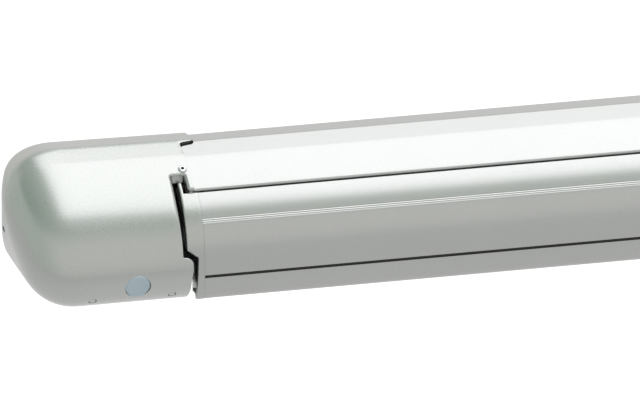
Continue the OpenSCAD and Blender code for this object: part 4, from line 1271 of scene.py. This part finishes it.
# Where each part of the room begins and is full, as a share of the way up, left and back
CEILING_AT, LEFT_AT, BEHIND_AT = (0.45, 0.68), (-0.3, -0.75), (0.3, 0.9)


def white_sky():
    world = bpy.data.worlds.new("white_studio")
    world.use_nodes = True
    tree = world.node_tree
    tree.nodes.clear()
    path, bounced = light_path(tree)
    look = add(tree, "ShaderNodeTexCoord").outputs["Generated"]
    way = add(tree, "ShaderNodeSeparateXYZ", {"Vector": look}).outputs
    rise = ranged(tree, way["Z"], 0.0, 1.0, *CEILING_AT, interpolation_type="SMOOTHSTEP")
    leftward = ranged(tree, way["X"], 0.0, 1.0, *LEFT_AT)
    walled = mixed(tree, leftward, mixed(tree, rise, HORIZON, CEILING), LEFT_WALL, blend_type="MULTIPLY")
    behind = ranged(tree, way["Y"], 1.0, SKY_BEHIND, *BEHIND_AT)
    soft = mixed(tree, bounced, SKY_LIGHT, behind, "FLOAT")
    sky = add(tree, "ShaderNodeBackground", {
        "Color": mixed(tree, bounced, WHITE, walled),
        "Strength": mixed(tree, path["Is Camera Ray"], soft, 1.0, "FLOAT")})
    add(tree, "ShaderNodeOutputWorld", {"Surface": sky})
    bpy.context.scene.world = world


def soft_panel(name, centre, size, radiance, colour, aim):
    lamp = bpy.data.lights.new(name, "AREA")
    lamp.shape, lamp.size, lamp.size_y = "RECTANGLE", size[0], size[1]
    lamp.energy = radiance * math.pi * size[0] * size[1]
    lamp.color = colour
    holder = new_object(name, lamp)
    holder.location = centre
    holder.rotation_euler = (Vector(aim) - Vector(centre)).to_track_quat("-Z", "Y").to_euler()
    return holder


white_sky()
PANEL_LEFT, PANEL_RIGHT, PANEL_FRONT, PANEL_BACK, PANEL_UP = -1.42, 1.7, -2.42, 3.0, 3.0
# The room is a little green, so the panel is a little pink: together they are white
PANEL_COLOUR, PANEL_RADIANCE = (0.985, 0.925, 0.995), 1.79
panel_mid = ((PANEL_LEFT + PANEL_RIGHT) / 2, (PANEL_FRONT + PANEL_BACK) / 2)
panel_size = (PANEL_RIGHT - PANEL_LEFT, PANEL_BACK - PANEL_FRONT)
soft_panel("overhead_panel", (*panel_mid, PANEL_UP), panel_size, PANEL_RADIANCE, PANEL_COLOUR, (*panel_mid, 0.0))
print("light: white sky and one overhead panel")

# %% [markdown]
# ## Camera
# The photograph looks at the left end from a little to the left and above, from far away. A long lens at a great
# distance keeps parallel edges parallel.

# %% Camera
AZIMUTH, ELEVATION, PIXEL_PER_MM = math.radians(15.3), math.radians(18.85), 0.95
LENS, SENSOR, PICTURE_PX = 1000.0, 36.0, 640
AIM_RIGHT, AIM_UP = 120.9, 76.9
right = Vector((math.cos(AZIMUTH), -math.sin(AZIMUTH), 0))
to_eye = Vector((-math.sin(AZIMUTH) * math.cos(ELEVATION),
                 -math.cos(AZIMUTH) * math.cos(ELEVATION), math.sin(ELEVATION)))
up = to_eye.cross(right)
target = (Vector((-SEAM_X, FRONT_Y, FRONT_Z)) + AIM_RIGHT * right + AIM_UP * up) * MM
width = PICTURE_PX / PIXEL_PER_MM * MM
camera = bpy.data.cameras.new("photo_camera")
camera.lens, camera.sensor_width, camera.clip_end = LENS, SENSOR, 200.0
eye = new_object("photo_camera", camera)
eye.location = target + to_eye * (width * LENS / SENSOR)
eye.rotation_euler = Matrix((right, up, to_eye)).transposed().to_euler()
bpy.context.scene.camera = eye
bpy.context.scene.view_settings.view_transform = "Standard"
print("camera %.1f m away" % (eye.location - target).length)
